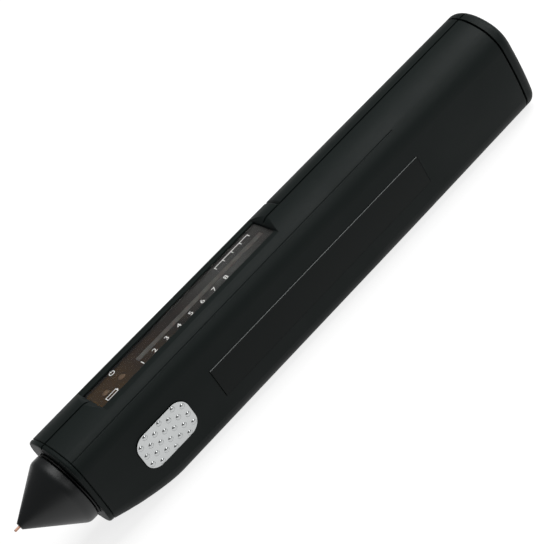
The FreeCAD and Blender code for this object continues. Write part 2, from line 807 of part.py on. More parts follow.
def shell_block(outer):
    """Both halves of the housing in one piece, before they are split and fitted out."""
    floor = outer_block(LINE_DEPTH)
    shell = outer.cut(inner_block(WALL))
    frame = slab(
        WINDOW_START - FRAME_MARGIN,
        WINDOW_END + FRAME_MARGIN,
        -WINDOW_WIDTH / 2 - FRAME_MARGIN,
        WINDOW_WIDTH / 2 + FRAME_MARGIN,
        FRAME_BOTTOM,
        LAND_Z,
    )
    shell = shell.fuse(frame.common(outer))
    land = window_land()
    cutters = [
        land,
        lens_box(WINDOW_GAP, SEAT_Z, BODY_HEIGHT),
        lens_box(-LEDGE, FRAME_BOTTOM - OVER, BODY_HEIGHT),
        ring_groove(BODY_X + NOSE_LINE_PLACE, NOSE_LINE_WIDTH, NOSE_LINE_DEPTH),
        collar_space(),
    ]
    return shell.cut(cutters).cut(line_grooves(floor.cut(land)) + crease_lines())


def collar_space():
    """Round opening in the front wall for the collar's neck."""
    return rod(SHELL_X - OVER, FRONT_WALL + 2 * OVER, neck_radius() + NECK_CLEARANCE, 0, NOSE_HEIGHT)


def neck_radius():
    """Radius of the collar's neck, which also fits the cone's socket."""
    return SOCKET_RADIUS - NECK_CLEARANCE


def left_shell(shell, root, deep_plate, deep_label):
    """Left half of the housing, with posts, rails, bulkheads and the cover's tongues."""
    near = slab(0, REAR_X + OVER, -BIG, 0)
    half = shell.common(near)
    ribs = [rib.common(root).common(near) for rib in thread_bosses() + board_rails(-1)]
    half = half.fuse(ribs + [wall.common(root) for wall in bulkheads()] + cover_tongues(root))
    cuts = thread_holes() + [
        plate_prism(PLATE_GAP, -1).cut(deep_plate),
        tab_box(PLATE_GAP, -1),
        label_prism(LABEL_GAP).cut(deep_label),
        window_land(),
        lens_box(WINDOW_GAP, SEAT_Z, BODY_HEIGHT),
    ]
    return half.cut(cuts + wire_holes())


def right_shell(shell, root, deep_plate):
    """Front part of the right half, up to the seam."""
    far = slab(0, SEAM_PLACE - SEAM_GAP / 2, 0, BIG)
    half = shell.common(far)
    ribs = [rib.common(root).common(far) for rib in head_bosses() + board_rails(1)]
    half = half.fuse(ribs)
    cuts = head_holes() + switch_cutters() + [
        plate_prism(PLATE_GAP, 1).cut(deep_plate),
        tab_box(PLATE_GAP, 1),
        ring_groove(SEAM_PLACE, SEAM_WIDTH, SEAM_DEPTH),
    ]
    return half.cut(cuts)


def battery_cover(shell, root):
    """Rear part of the right half, with the latch that reaches under the right shell."""
    far = slab(SEAM_PLACE + SEAM_GAP / 2, REAR_X + OVER, 0, BIG)
    half = shell.common(far).cut(ring_groove(SEAM_PLACE, SEAM_WIDTH, SEAM_DEPTH))
    under = inner_block(WALL + TONGUE_GAP)
    deeper = inner_block(WALL + TONGUE_GAP + LATCH_THICKNESS)
    z0 = CELL_HEIGHT - LATCH_WIDTH / 2
    z1 = CELL_HEIGHT + LATCH_WIDTH / 2
    start = SEAM_PLACE + SEAM_WIDTH
    tab = under.cut(deeper).common(slab(SEAM_PLACE - LATCH_REACH, start + LATCH_ROOT, 0, BIG, z0, z1))
    foot = root.cut(deeper).common(slab(start, start + LATCH_ROOT, 0, BIG, z0, z1))
    return half.fuse([tab, foot])


def ring_wire(x, radius, z):
    """Circle across the pen."""
    return Part.Wire(Part.makeCircle(radius, Vector(x, 0, z), Vector(1, 0, 0)))


def nose_cone():
    """Cone whose point lies above the middle of its base, with the channel of the probe."""
    skin = Part.makeLoft(
        [ring_wire(TIP_REACH, CONE_TIP_RADIUS, PROBE_HEIGHT), ring_wire(BAND_X, NOSE_RADIUS, NOSE_HEIGHT)],
        True,
        True,
    )
    band = rod(BAND_X, BAND_LENGTH, NOSE_RADIUS, 0, NOSE_HEIGHT)
    rear_edge = [e for e in band.Edges if e.Closed and abs(e.CenterOfMass.x - CONE_REAR_X) < 0.01]
    band = band.makeFillet(NOSE_EDGE, rear_edge)
    cone = skin.fuse(band)
    ridge = [e for e in cone.Edges if e.BoundBox.XLength < 0.01 and abs(e.CenterOfMass.x - BAND_X) < 0.01]
    cone = cone.makeFillet(RIDGE_ROUNDING, ridge)
    socket = rod(CONE_REAR_X - SOCKET_DEPTH, SOCKET_DEPTH + OVER, SOCKET_RADIUS, 0, NOSE_HEIGHT)
    wide = SHOULDER_RADIUS + CHANNEL_CLEARANCE
    channel = rod(SHOULDER_PLACE - STOP_GAP, CONE_REAR_X, wide, 0, PROBE_HEIGHT)
    narrow = rod(HOLDER_START - HOLDER_GAP, CONE_REAR_X, HOLDER_RADIUS + FIT, 0, PROBE_HEIGHT)
    hole = rod(0, CONE_REAR_X, TIP_RADIUS + FIT, 0, PROBE_HEIGHT)
    return cone.cut([socket, channel, narrow, hole])


def nose_collar():
    """Flanged sleeve held between the two halves, which carries the cone and the probe's bush."""
    neck = neck_radius()
    front = CONE_REAR_X - SOCKET_DEPTH + NOSE_GAP
    lip_x = CAVITY_X + NOSE_GAP
    tube = rod(front, lip_x - front + COLLAR_LIP_THICKNESS, neck, 0, NOSE_HEIGHT)
    flange = rod(FLANGE_X, FLANGE_THICKNESS, COLLAR_FLANGE_RADIUS, 0, NOSE_HEIGHT)
    lip = rod(lip_x, COLLAR_LIP_THICKNESS, COLLAR_LIP_RADIUS, 0, NOSE_HEIGHT)
    collar = tube.fuse([flange, lip]).removeSplitter()
    seat = rod(bush_start(), 2 * BIG, bush_radius() + FIT, 0, PROBE_HEIGHT)
    bore = rod(0, 2 * BIG, SHOULDER_RADIUS + CHANNEL_CLEARANCE, 0, PROBE_HEIGHT)
    return collar.cut([seat, bore])


def bush_start():
    """Front face of the probe's bush."""
    return FLANGE_X


def bush_radius():
    """Outer radius of the probe's bush."""
    return SHOULDER_RADIUS + CHANNEL_CLEARANCE + BUSH_MARGIN


def probe_bush():
    """Sleeve that guides the probe's holder."""
    bush = rod(bush_start(), BUSH_LENGTH, bush_radius(), 0, PROBE_HEIGHT)
    return bush.cut(rod(0, BIG, HOLDER_RADIUS + FIT, 0, PROBE_HEIGHT))


def probe_holder():
    """Brass tube with a shoulder for the spring, bored for the tip."""
    tube = rod(HOLDER_START, HOLDER_LENGTH, HOLDER_RADIUS, 0, PROBE_HEIGHT)
    shoulder = rod(SHOULDER_PLACE, SHOULDER_LENGTH, SHOULDER_RADIUS, 0, PROBE_HEIGHT)
    bore = rod(0, TIP_LENGTH, TIP_RADIUS + FIT, 0, PROBE_HEIGHT)
    return tube.fuse(shoulder).removeSplitter().cut(bore)


def probe_tip():
    """Copper wire with a broken edge at its point."""
    tip = rod(0, TIP_LENGTH, TIP_RADIUS, 0, PROBE_HEIGHT)
    front = [e for e in tip.Edges if e.Closed and e.CenterOfMass.x < TIP_CHAMFER]
    return tip.makeChamfer(TIP_CHAMFER, front)


def heater_core():
    """Ceramic heater and sensor behind the holder."""
    return rod(HOLDER_START + HOLDER_LENGTH, HEATER_LENGTH, HEATER_RADIUS, 0, PROBE_HEIGHT)


def connector_start():
    """Front face of the connector under the board."""
    return BOARD_START + CONNECTOR_SETBACK


def probe_leads():
    """Two slack wires from the heater to the connector."""
    start = HOLDER_START + HOLDER_LENGTH + HEATER_LENGTH
    end = connector_start()
    leads = []
    for side in (-1, 1):
        y = side * LEAD_SPACING / 2
        a = Vector(start, y, PROBE_HEIGHT)
        b = Vector(end, y, PROBE_HEIGHT)
        lowest = Vector((start + end) / 2, y, PROBE_HEIGHT - LEAD_SAG)
        arc = Part.Arc(a, lowest, b).toShape()
        path = Part.Wire([arc])
        tangent = arc.tangentAt(arc.FirstParameter)
        ring = Part.Wire(Part.makeCircle(LEAD_RADIUS, arc.valueAt(arc.FirstParameter), tangent))
        lead = path.makePipeShell([ring], True, False)
        leads.append(lead.common(slab(start, end)))
    return leads


def biarc(p0, t0, p1, t1):
    """Two arcs that join two points with given directions smoothly."""
    span = p1.sub(p0)
    both = t0.add(t1)
    a = 4 - both.dot(both)
    reach = (-span.dot(both) + math.sqrt(span.dot(both) ** 2 + a * span.dot(span))) / a
    q0 = p0.add(Vector(t0).multiply(reach))
    q1 = p1.sub(Vector(t1).multiply(reach))
    joint = q0.add(q1).multiply(0.5)
    edges = []
    for start, corner, end in ((p0, q0, joint), (joint, q1, p1)):
        chord = start.add(end).multiply(0.5)
        height = corner.sub(chord)
        half = start.distanceToPoint(end) / 2
        rise = half * math.tan(math.atan2(height.Length, half) / 2)
        height.normalize()
        edges.append(Part.Arc(start, chord.add(height.multiply(rise)), end).toShape())
    return edges


def coil(start, length, wire_radius, radius_start, radius_end, turns, y=0.0, z=0.0):
    """Spring along the pen as one unbroken tube; its radius may change along it."""
    low = start + wire_radius
    run = length - 2 * wire_radius
    whole = 2 * math.pi * turns

    def place(angle):
        radius = blend(radius_start, radius_end, angle / whole)
        return Vector(low + run * angle / whole, y + radius * math.cos(angle), z + radius * math.sin(angle))

    def direction_at(angle):
        radius = blend(radius_start, radius_end, angle / whole)
        slope = (radius_end - radius_start) / whole
        direction = Vector(
            run / whole,
            slope * math.cos(angle) - radius * math.sin(angle),
            slope * math.sin(angle) + radius * math.cos(angle),
        )
        direction.normalize()
        return direction

    steps = 4 * turns
    angles = [whole * i / steps for i in range(steps + 1)]
    edges = []
    for a, b in zip(angles, angles[1:]):
        edges += biarc(place(a), direction_at(a), place(b), direction_at(b))
    ring = Part.Wire(Part.makeCircle(wire_radius, place(0), direction_at(0)))
    fine = [place(whole * i / (40 * turns)) for i in range(40 * turns + 1)]
    gap = min(fine[i].distanceToPoint(p) for i in range(len(fine)) for p in fine[i + 20:]) - 2 * wire_radius
    print("coil at x %.1f: least gap to itself %.2f mm" % (start, gap))
    return Part.Wire(edges).makePipeShell([ring], True, False)


def probe_spring():
    """Spring between the holder's shoulder and the bush."""
    start = SHOULDER_PLACE + SHOULDER_LENGTH
    mean = (HOLDER_RADIUS + SHOULDER_RADIUS + CHANNEL_CLEARANCE) / 2
    return coil(start, bush_start() - start, SPRING_WIRE_RADIUS, mean, mean, SPRING_TURNS, 0, PROBE_HEIGHT)


def display_window():
    """Smoked lens in its rebate."""
    lens = lens_box(0.0, LENS_BOTTOM, LENS_TOP)
    top = [e for e in lens.Edges if min(v.Z for v in e.Vertexes) > LENS_TOP - 0.01]
    return lens.makeChamfer(LENS_EDGE, top)


def bar_top():
    """Height of the light bar's top, under the lens."""
    return LENS_BOTTOM - MASK_GAP / 2


def display_mask():
    """Dark sheet under the lens, with a slot for the light bar and holes for the lamps."""
    mask = lens_box(0.0, SEAT_Z, MASK_TOP)
    half = BAR_WIDTH / 2 + MASK_CLEARANCE
    end = BAR_START + BAR_LENGTH
    cuts = [slab(BAR_START - MASK_CLEARANCE, end + MASK_CLEARANCE, -half, half)]
    cuts += [Part.makeCylinder(LAMP_RADIUS + MASK_CLEARANCE, BIG, Vector(x, 0, 0)) for x in LAMP_PLACES]
    return mask.cut(cuts)


def light_bar():
    """Pale diffuser strip on two feet, over the row of chips."""
    bar = slab(
        BAR_START, BAR_START + BAR_LENGTH, -BAR_WIDTH / 2, BAR_WIDTH / 2, BOARD_TOP + 2 * CHIP.z, bar_top()
    )
    feet = [
        slab(x, x + BAR_FOOT, -BAR_WIDTH / 2, BAR_WIDTH / 2, BOARD_TOP, BOARD_TOP + 2 * CHIP.z)
        for x in (BAR_START, BAR_START + BAR_LENGTH - BAR_FOOT)
    ]
    return bar.fuse(feet).removeSplitter()


def bar_leds():
    """Row of light chips under the bar."""
    first = BAR_START + BAR_FOOT + CHIP_MARGIN
    pitch = (BAR_LENGTH - 2 * BAR_FOOT - 2 * CHIP_MARGIN - CHIP.x) / (CHIP_COUNT - 1)
    return [
        box(
            Vector(first + index * pitch, -CHIP.y / 2, BOARD_TOP),
            Vector(first + index * pitch + CHIP.x, CHIP.y / 2, BOARD_TOP + CHIP.z),
        )
        for index in range(CHIP_COUNT)
    ]


def status_leds():
    """Two lamps with rounded tops, from the board to the lens."""
    lamps = []
    for x in LAMP_PLACES:
        lamp = Part.makeCylinder(LAMP_RADIUS, bar_top() - BOARD_TOP, Vector(x, 0, BOARD_TOP))
        top = [e for e in lamp.Edges if e.Closed and e.CenterOfMass.z > bar_top() - 0.01]
        lamps.append(lamp.makeFillet(LAMP_ROUNDING, top))
    return lamps


def circuit_board():
    """Board that lies in the rails of both halves."""
    return slab(
        BOARD_START, BOARD_START + BOARD_LENGTH, -BOARD_WIDTH / 2, BOARD_WIDTH / 2, BOARD_HEIGHT, BOARD_TOP
    )


def under_board(size, x, y=0.0):
    """Block that hangs under the board, its middle at x and y."""
    return box(
        Vector(x - size.x / 2, y - size.y / 2, BOARD_HEIGHT - size.z),
        Vector(x + size.x / 2, y + size.y / 2, BOARD_HEIGHT),
    )


def lead_connector():
    """Plug of the probe's wires, under the front of the board."""
    return under_board(CONNECTOR, connector_start() + CONNECTOR.x / 2)


def reservoir_capacitor():
    """Round capacitor that lies under the board."""
    return rod(CAPACITOR_PLACE, CAPACITOR_LENGTH, CAPACITOR_RADIUS, 0, BOARD_HEIGHT - CAPACITOR_RADIUS)


def surface_resistors():
    """Row of small resistors under the board."""
    return [
        under_board(RESISTOR, RESISTOR_PLACE, (index - (RESISTOR_COUNT - 1) / 2) * RESISTOR_PITCH)
        for index in range(RESISTOR_COUNT)
    ]


def buzzer():
    """Round sounder under the board, with its sound hole."""
    bottom = Vector(BUZZER_PLACE, 0, BOARD_HEIGHT - BUZZER_HEIGHT)
    body = Part.makeCylinder(BUZZER_RADIUS, BUZZER_HEIGHT, bottom)
    hole = Part.makeCylinder(BUZZER_HOLE_RADIUS, BUZZER_HOLE_DEPTH, bottom)
    return body.cut(hole)


def finger_plate_leads():
    """Strips from the end of each plate's tab up to the board's underside."""
    x, z = plate_centre()
    inner = tab_end_width() - STRIP_THICKNESS
    strips = []
    for side in (-1, 1):
        y0, y1 = sorted((side * inner, side * (inner + STRIP_THICKNESS)))
        strips.append(slab(x - TAB_WIDTH / 2, x + TAB_WIDTH / 2, y0, y1, z - TAB_HEIGHT, BOARD_HEIGHT))
    return strips


def cell_heights():
    """Middle heights of the lower and the upper cell."""
    step = CELL_RADIUS + CELL_SPACING / 2
    return CELL_HEIGHT - step, CELL_HEIGHT + step


def contact_faces():
    """Faces of the front and rear contacts that meet the cells."""
    front, rear = bulkhead_places()
    return front + BULKHEAD_THICKNESS + CONTACT_THICKNESS, rear - CONTACT_THICKNESS


def cell(x, z, forward):
    """AAA cell from x, its positive end at the front where forward is true."""
    can = rod(x + (NUB_LENGTH if forward else 0), CELL_LENGTH - NUB_LENGTH, CELL_RADIUS, 0, z)
    can = can.makeFillet(CAN_ROUNDING, [e for e in can.Edges if e.Closed])
    nub_x = x if forward else x + CELL_LENGTH - NUB_LENGTH - NUB_ROOT
    nub = rod(nub_x, NUB_LENGTH + NUB_ROOT, NUB_RADIUS, 0, z)
    return can.fuse(nub).removeSplitter()


def upper_cell():
    """Upper cell, positive end at the rear."""
    return cell(contact_faces()[0] + CELL_SPRING_LENGTH, cell_heights()[1], False)


def lower_cell():
    """Lower cell, positive end at the front."""
    return cell(contact_faces()[0], cell_heights()[0], True)


def cell_springs():
    """Conical springs at the negative end of each cell."""
    low, high = cell_heights()
    front, rear = contact_faces()
    length = CELL_SPRING_LENGTH - 2 * SPRING_END_GAP
    wire = CELL_SPRING_WIRE_RADIUS
    upper = coil(
        front + SPRING_END_GAP, length, wire, CELL_SPRING_BASE, CELL_SPRING_TOP, CELL_SPRING_TURNS, 0, high
    )
    start = rear - CELL_SPRING_LENGTH + SPRING_END_GAP
    lower = coil(start, length, wire, CELL_SPRING_TOP, CELL_SPRING_BASE, CELL_SPRING_TURNS, 0, low)
    return [upper, lower]


def contact_plate(x, z0, z1):
    """Flat contact on a bulkhead."""
    return slab(x, x + CONTACT_THICKNESS, -CONTACT_WIDTH / 2, CONTACT_WIDTH / 2, z0, z1)


def front_contacts():
    """Separate contacts of the two cells, on the front bulkhead."""
    x = contact_faces()[0] - CONTACT_THICKNESS
    return [contact_plate(x, z - CONTACT_HEIGHT / 2, z + CONTACT_HEIGHT / 2) for z in cell_heights()]


def rear_contact():
    """Bridge contact between the two cells, on the rear bulkhead."""
    low, high = cell_heights()
    return contact_plate(contact_faces()[1], low - CONTACT_HEIGHT / 2, high + CONTACT_HEIGHT / 2)


def wire_route(side):
    """Corner points of a battery wire, from its contact through the bulkhead and up to the board's end."""
    low, high = cell_heights()
    y = side * WIRE_SPACING / 2
    z = high if side > 0 else low
    x = BULKHEAD_START + BULKHEAD_THICKNESS
    turn_x = BULKHEAD_START - WIRE_RUN
    board_x = BOARD_START + BOARD_LENGTH
    board_z = BOARD_HEIGHT + BOARD_THICKNESS / 2
    above = Vector(board_x + WIRE_RUN, y, board_z) if side > 0 else Vector(turn_x, y, board_z)
    return [Vector(x, y, z), Vector(turn_x, y, z), above, Vector(board_x, y, board_z)]


def rounded_tube(points, radius, bend):
    """Tube along straight runs joined by arcs."""
    edges = []
    start = points[0]
    for before, corner, after in zip(points, points[1:], points[2:]):
        back = before.sub(corner)
        ahead = after.sub(corner)
        back.normalize()
        ahead.normalize()
        turn = math.pi - back.getAngle(ahead)
        reach = bend * math.tan(turn / 2)
        first = corner.add(Vector(back).multiply(reach))
        last = corner.add(Vector(ahead).multiply(reach))
        inward = back.add(ahead)
        inward.normalize()
        middle = corner.add(inward.multiply(bend / math.cos(turn / 2) - bend))
        edges += [Part.makeLine(start, first), Part.Arc(first, middle, last).toShape()]
        start = last
    edges.append(Part.makeLine(start, points[-1]))
    ring = Part.Wire(Part.makeCircle(radius, points[0], points[1].sub(points[0])))
    return Part.Wire(edges).makePipeShell([ring], True, False)


def battery_wires():
    """Two wires from the battery contacts to the end of the board."""
    return [rounded_tube(wire_route(side), WIRE_RADIUS, WIRE_BEND) for side in (-1, 1)]


def wire_holes():
    """Holes for the battery wires in the front bulkhead."""
    return [
        rod(BULKHEAD_START - OVER, BULKHEAD_THICKNESS + 2 * OVER, WIRE_RADIUS + FIT, end.y, end.z)
        for end in (wire_route(side)[0] for side in (-1, 1))
    ]


def save(name, shape):
    """Move a piece into the part's frame and write it."""
    solids = shape if isinstance(shape, list) else [shape]
    shape = Part.makeCompound([s for piece in solids for s in piece.Solids])
    shape = shape.Solids[0] if len(shape.Solids) == 1 else shape
    shape.translate(Vector(-REAR_X / 2, 0, 0))
    print("%-20s solids %d volume %.1f valid %s" % (name, len(shape.Solids), shape.Volume, shape.isValid()))
    shape.exportStep("parts/%s.step" % name)


def main():
    """Build every piece and write it."""
    os.makedirs("parts", exist_ok=True)
    outer = outer_block()
    shell = shell_block(outer)
    deep_plate = body_block(PLATE_DEPTH)
    proud_plate = body_block(-PLATE_PROUD)
    deep_label = body_block(LABEL_DEPTH)
    proud_label = body_block(-LABEL_PROUD)
    root = inner_block(WALL / 2)
    save("left_shell", left_shell(shell, root, deep_plate, deep_label))
    save("right_shell", right_shell(shell, root, deep_plate))
    save("battery_cover", battery_cover(shell, root))
    save("left_finger_plate", finger_plate(-1, proud_plate, deep_plate))
    save("right_finger_plate", finger_plate(1, proud_plate, deep_plate))
    save("name_plate", proud_label.cut(deep_label).common(label_prism(0.0)))
    for make in (
        nose_cone,
        nose_collar,
        probe_bush,
        probe_holder,
        probe_tip,
        heater_core,
        probe_leads,
        lead_connector,
        probe_spring,
        display_window,
        display_mask,
        light_bar,
        bar_leds,
        status_leds,
        circuit_board,
        reservoir_capacitor,
        surface_resistors,
        buzzer,
        finger_plate_leads,
        switch_case,
        switch_slider,
        switch_knob,
        upper_cell,
        lower_cell,
        cell_springs,
        front_contacts,
        rear_contact,
        battery_wires,
        housing_screws,
    ):
        save(make.__name__, make())
    save("controller_chip", under_board(CONTROLLER, CONTROLLER_PLACE))


main()
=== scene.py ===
"""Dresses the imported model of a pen-shaped gem tester and sets it in a plain studio."""

import logging
import math
from dataclasses import dataclass
from enum import Enum
from typing import Callable, Optional, Union

import bpy
from mathutils import Matrix, Vector


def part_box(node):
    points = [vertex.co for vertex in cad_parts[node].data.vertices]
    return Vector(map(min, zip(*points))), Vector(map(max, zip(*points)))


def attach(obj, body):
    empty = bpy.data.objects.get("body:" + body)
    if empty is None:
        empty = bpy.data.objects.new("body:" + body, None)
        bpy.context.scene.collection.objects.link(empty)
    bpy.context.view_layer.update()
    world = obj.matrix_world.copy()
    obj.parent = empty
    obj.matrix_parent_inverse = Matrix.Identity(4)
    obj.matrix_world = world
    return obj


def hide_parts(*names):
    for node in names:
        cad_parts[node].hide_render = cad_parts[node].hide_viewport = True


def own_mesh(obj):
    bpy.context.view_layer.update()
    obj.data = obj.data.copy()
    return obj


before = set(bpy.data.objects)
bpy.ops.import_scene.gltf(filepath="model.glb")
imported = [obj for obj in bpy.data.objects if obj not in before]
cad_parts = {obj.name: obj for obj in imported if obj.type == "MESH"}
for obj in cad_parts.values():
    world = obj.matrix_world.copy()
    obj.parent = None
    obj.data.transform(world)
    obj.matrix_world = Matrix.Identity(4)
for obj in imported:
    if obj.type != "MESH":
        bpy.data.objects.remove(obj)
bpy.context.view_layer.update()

MM = 0.001
HALF_LENGTH_MM = 76.3
# Most of a noise texture's values lie between these two.
NOISE_LOW = 0.3
NOISE_HIGH = 0.7
EDGE_SAMPLES = 6
# A face looks along an axis when its normal's share of that axis is above this.
FACING = 0.9
# Points closer than this are merged, and points closer than the next to a cut lie on it.
WELD_MM = 0.0005
CUT_MM = 0.0001
LOG = logging.getLogger("gem_tester")

Socket = bpy.types.NodeSocket
Input = Union[float, tuple, Socket]


def at(x: float, y: float, z: float) -> Vector:
    """Point in metres in the frame.

    Args:
        x: Millimetres from the probe's point towards the rear.
        y: Millimetres from the middle plane towards the cover's side.
        z: Millimetres above the keel.

    Returns:
        The point as a vector.
    """
    return Vector((x - HALF_LENGTH_MM, y, z)) * MM


def linear(code: str) -> tuple[float, float, float, float]:
    """Turns an sRGB hex code into a linear colour.

    Args:
        code: Six hex digits after a hash.

    Returns:
        Linear red, green, blue and an alpha of 1.
    """
    parts = [int(code[i : i + 2], 16) / 255 for i in (1, 3, 5)]
    lights = [p / 12.92 if p <= 0.04045 else ((p + 0.055) / 1.055) ** 2.4 for p in parts]
    return (*lights, 1.0)


def add_node(
    tree: bpy.types.NodeTree,
    kind: str,
    sockets: Optional[dict[Union[int, str], Input]] = None,
    **settings: object,
) -> bpy.types.Node:
    """Adds a node with its settings and links.

    Args:
        tree: The material's node tree.
        kind: Blender's name of the node.
        sockets: Value or source socket for each input, by name or number.
        settings: Options of the node.

    Returns:
        The new node.
    """
    node = tree.nodes.new(kind)
    for name, value in settings.items():
        setattr(node, name, value)
    for key, value in (sockets or {}).items():
        if isinstance(value, Socket):
            tree.links.new(value, node.inputs[key])
        else:
            node.inputs[key].default_value = value
    return node


@dataclass(frozen=True)
class Finish:
    """Surface finish that makes a node material of its own name."""

    name: str

    def shader(self, tree: bpy.types.NodeTree) -> Socket:
        """Builds the nodes of the finish.

        Args:
            tree: An empty node tree.

        Returns:
            The shader socket that goes to the output.
        """
        raise NotImplementedError(self.name)

    def material(self) -> bpy.types.Material:
        """Makes the material, or finds it if it was made before.

        Returns:
            The finished material.
        """
        known = bpy.data.materials.get(self.name)
        if known is not None:
            return known
        material = bpy.data.materials.new(self.name)
        material.use_nodes = True
        material.node_tree.nodes.clear()
        surface = self.shader(material.node_tree)
        add_node(material.node_tree, "ShaderNodeOutputMaterial", {"Surface": surface})
        return material

    def dress(self, piece: bpy.types.Object) -> None:
        """Puts the finish on a piece in place of what it had."""
        piece.data.materials.clear()
        piece.data.materials.append(self.material())


@dataclass(frozen=True)
class SolidFinish(Finish):
    """Opaque finish with two tones, uneven roughness, a fine relief and softened edges."""

    colour: str = "#141616"
    roughness: float = 0.45
    roughness_spread: float = 0.05
    relief_strength: float = 0.6
    edge_mm: float = 0.15

    def skin(
        self,
        tree: bpy.types.NodeTree,
        second: str,
        tones: Socket,
        wear: Socket,
        relief: Socket,
        height_mm: float,
    ) -> dict[Union[int, str], Input]:
        """Turns patterns into the colour, roughness and relief of the surface.

        Args:
            tree: The material's node tree.
            second: Hex code of the second tone.
            tones: Pattern that mixes the two tones.
            wear: Pattern of the roughness.
            relief: Pattern of the relief.
            height_mm: Height of the relief.

        Returns:
            The inputs of the shader that they drive.
        """
        colour = add_node(
            tree, "ShaderNodeMix", {0: tones, 6: linear(self.colour), 7: linear(second)}, data_type="RGBA"
        ).outputs[2]
        roughness = add_node(
            tree,
            "ShaderNodeMapRange",
            {
                "Value": wear,
                "From Min": NOISE_LOW,
                "From Max": NOISE_HIGH,
                "To Min": self.roughness - self.roughness_spread,
                "To Max": self.roughness + self.roughness_spread,
            },
        ).outputs["Result"]
        edge = add_node(
            tree, "ShaderNodeBevel", {"Radius": self.edge_mm * MM}, samples=EDGE_SAMPLES
        ).outputs["Normal"]
        normal = add_node(
            tree,
            "ShaderNodeBump",
            {"Strength": self.relief_strength, "Distance": height_mm * MM, "Height": relief, "Normal": edge},
        ).outputs["Normal"]
        return {"Base Color": colour, "Roughness": roughness, "Normal": normal}


@dataclass(frozen=True)
class MouldedPlastic(SolidFinish):
    """Injection moulded plastic: eroded mould grain, faint flow mottling and softened edges."""

    mottle_colour: str = "#181a1a"
    specular: float = 0.5
    ior: float = 1.53
    grain_mm: float = 0.3
    grain_height_mm: float = 0.008
    mottle_mm: float = 14.0

    def shader(self, tree: bpy.types.NodeTree) -> Socket:
        """Builds the nodes of the finish.

        Args:
            tree: An empty node tree.

        Returns:
            The shader socket that goes to the output.
        """
        place = add_node(tree, "ShaderNodeTexCoord").outputs["Object"]
        mottle = add_node(
            tree, "ShaderNodeTexNoise", {"Vector": place, "Scale": 1 / (self.mottle_mm * MM), "Detail": 3.0}
        ).outputs["Fac"]
        grain = add_node(
            tree, "ShaderNodeTexNoise", {"Vector": place, "Scale": 1 / (self.grain_mm * MM), "Detail": 2.0}
        ).outputs["Fac"]
        skin = self.skin(tree, self.mottle_colour, mottle, mottle, grain, self.grain_height_mm)
        return add_node(
            tree, "ShaderNodeBsdfPrincipled", {**skin, "IOR": self.ior, "Specular IOR Level": self.specular}
        ).outputs["BSDF"]


class Lay(Enum):
    """Direction of the tool marks on a metal, as the share of fine scale along X, Y and Z."""

    TURNED = (1.0, 0.01, 0.01)
    BRUSHED = (0.02, 1.0, 1.0)
    BLASTED = (1.0, 1.0, 1.0)


@dataclass(frozen=True)
class TopEdgeHighlightSheet(MouldedPlastic):
    """Printed sheet whose faces that look up are painted pale grey, a painted highlight along its top edge.
    """

    painted_highlight_colour: str = "#9fa2a2"
    painted_highlight_roughness: float = 0.5
    upward_from: float = 0.7

    def shader(self, tree: bpy.types.NodeTree) -> Socket:
        """Builds the nodes of the finish.

        Args:
            tree: An empty node tree.

        Returns:
            The shader socket that goes to the output.
        """
        face = super().shader(tree)
        # Painted highlight: faces that look up get a pale grey shader in place of the sheet's face.
        facing = add_node(tree, "ShaderNodeNewGeometry").outputs["True Normal"]
        upward = add_node(tree, "ShaderNodeSeparateXYZ", {"Vector": facing}).outputs["Z"]
        edge = add_node(
            tree, "ShaderNodeMath", {0: upward, 1: self.upward_from}, operation="GREATER_THAN"
        ).outputs[0]
        core = add_node(
            tree,
            "ShaderNodeBsdfPrincipled",
            {"Base Color": linear(self.painted_highlight_colour), "Roughness": self.painted_highlight_roughness},
        ).outputs["BSDF"]
        return add_node(tree, "ShaderNodeMixShader", {0: edge, 1: face, 2: core}).outputs["Shader"]


@dataclass(frozen=True)
class WorkedMetal(SolidFinish):
    """Bare or plated metal whose tool marks follow the way it was worked."""

    colour: str = "#b9bbbb"
    stain_colour: str = "#a9abab"
    roughness: float = 0.3
    roughness_spread: float = 0.06
    relief_strength: float = 0.5
    lay: Lay = Lay.BLASTED
    line_mm: float = 0.15
    line_depth_mm: float = 0.003
    stain_mm: float = 5.0
    edge_mm: float = 0.08

    def shader(self, tree: bpy.types.NodeTree) -> Socket:
        """Builds the nodes of the finish.

        Args:
            tree: An empty node tree.

        Returns:
            The shader socket that goes to the output.
        """
        place = add_node(tree, "ShaderNodeTexCoord").outputs["Object"]
        scale = tuple(share / (self.line_mm * MM) for share in self.lay.value)
        along = add_node(tree, "ShaderNodeMapping", {"Vector": place, "Scale": scale}).outputs["Vector"]
        marks = add_node(
            tree, "ShaderNodeTexNoise", {"Vector": along, "Scale": 1.0, "Detail": 2.0}
        ).outputs["Fac"]
        stain = add_node(
            tree, "ShaderNodeTexNoise", {"Vector": place, "Scale": 1 / (self.stain_mm * MM), "Detail": 3.0}
        ).outputs["Fac"]
        skin = self.skin(tree, self.stain_colour, stain, marks, marks, self.line_depth_mm)
        return add_node(tree, "ShaderNodeBsdfPrincipled", {**skin, "Metallic": 1.0}).outputs["BSDF"]


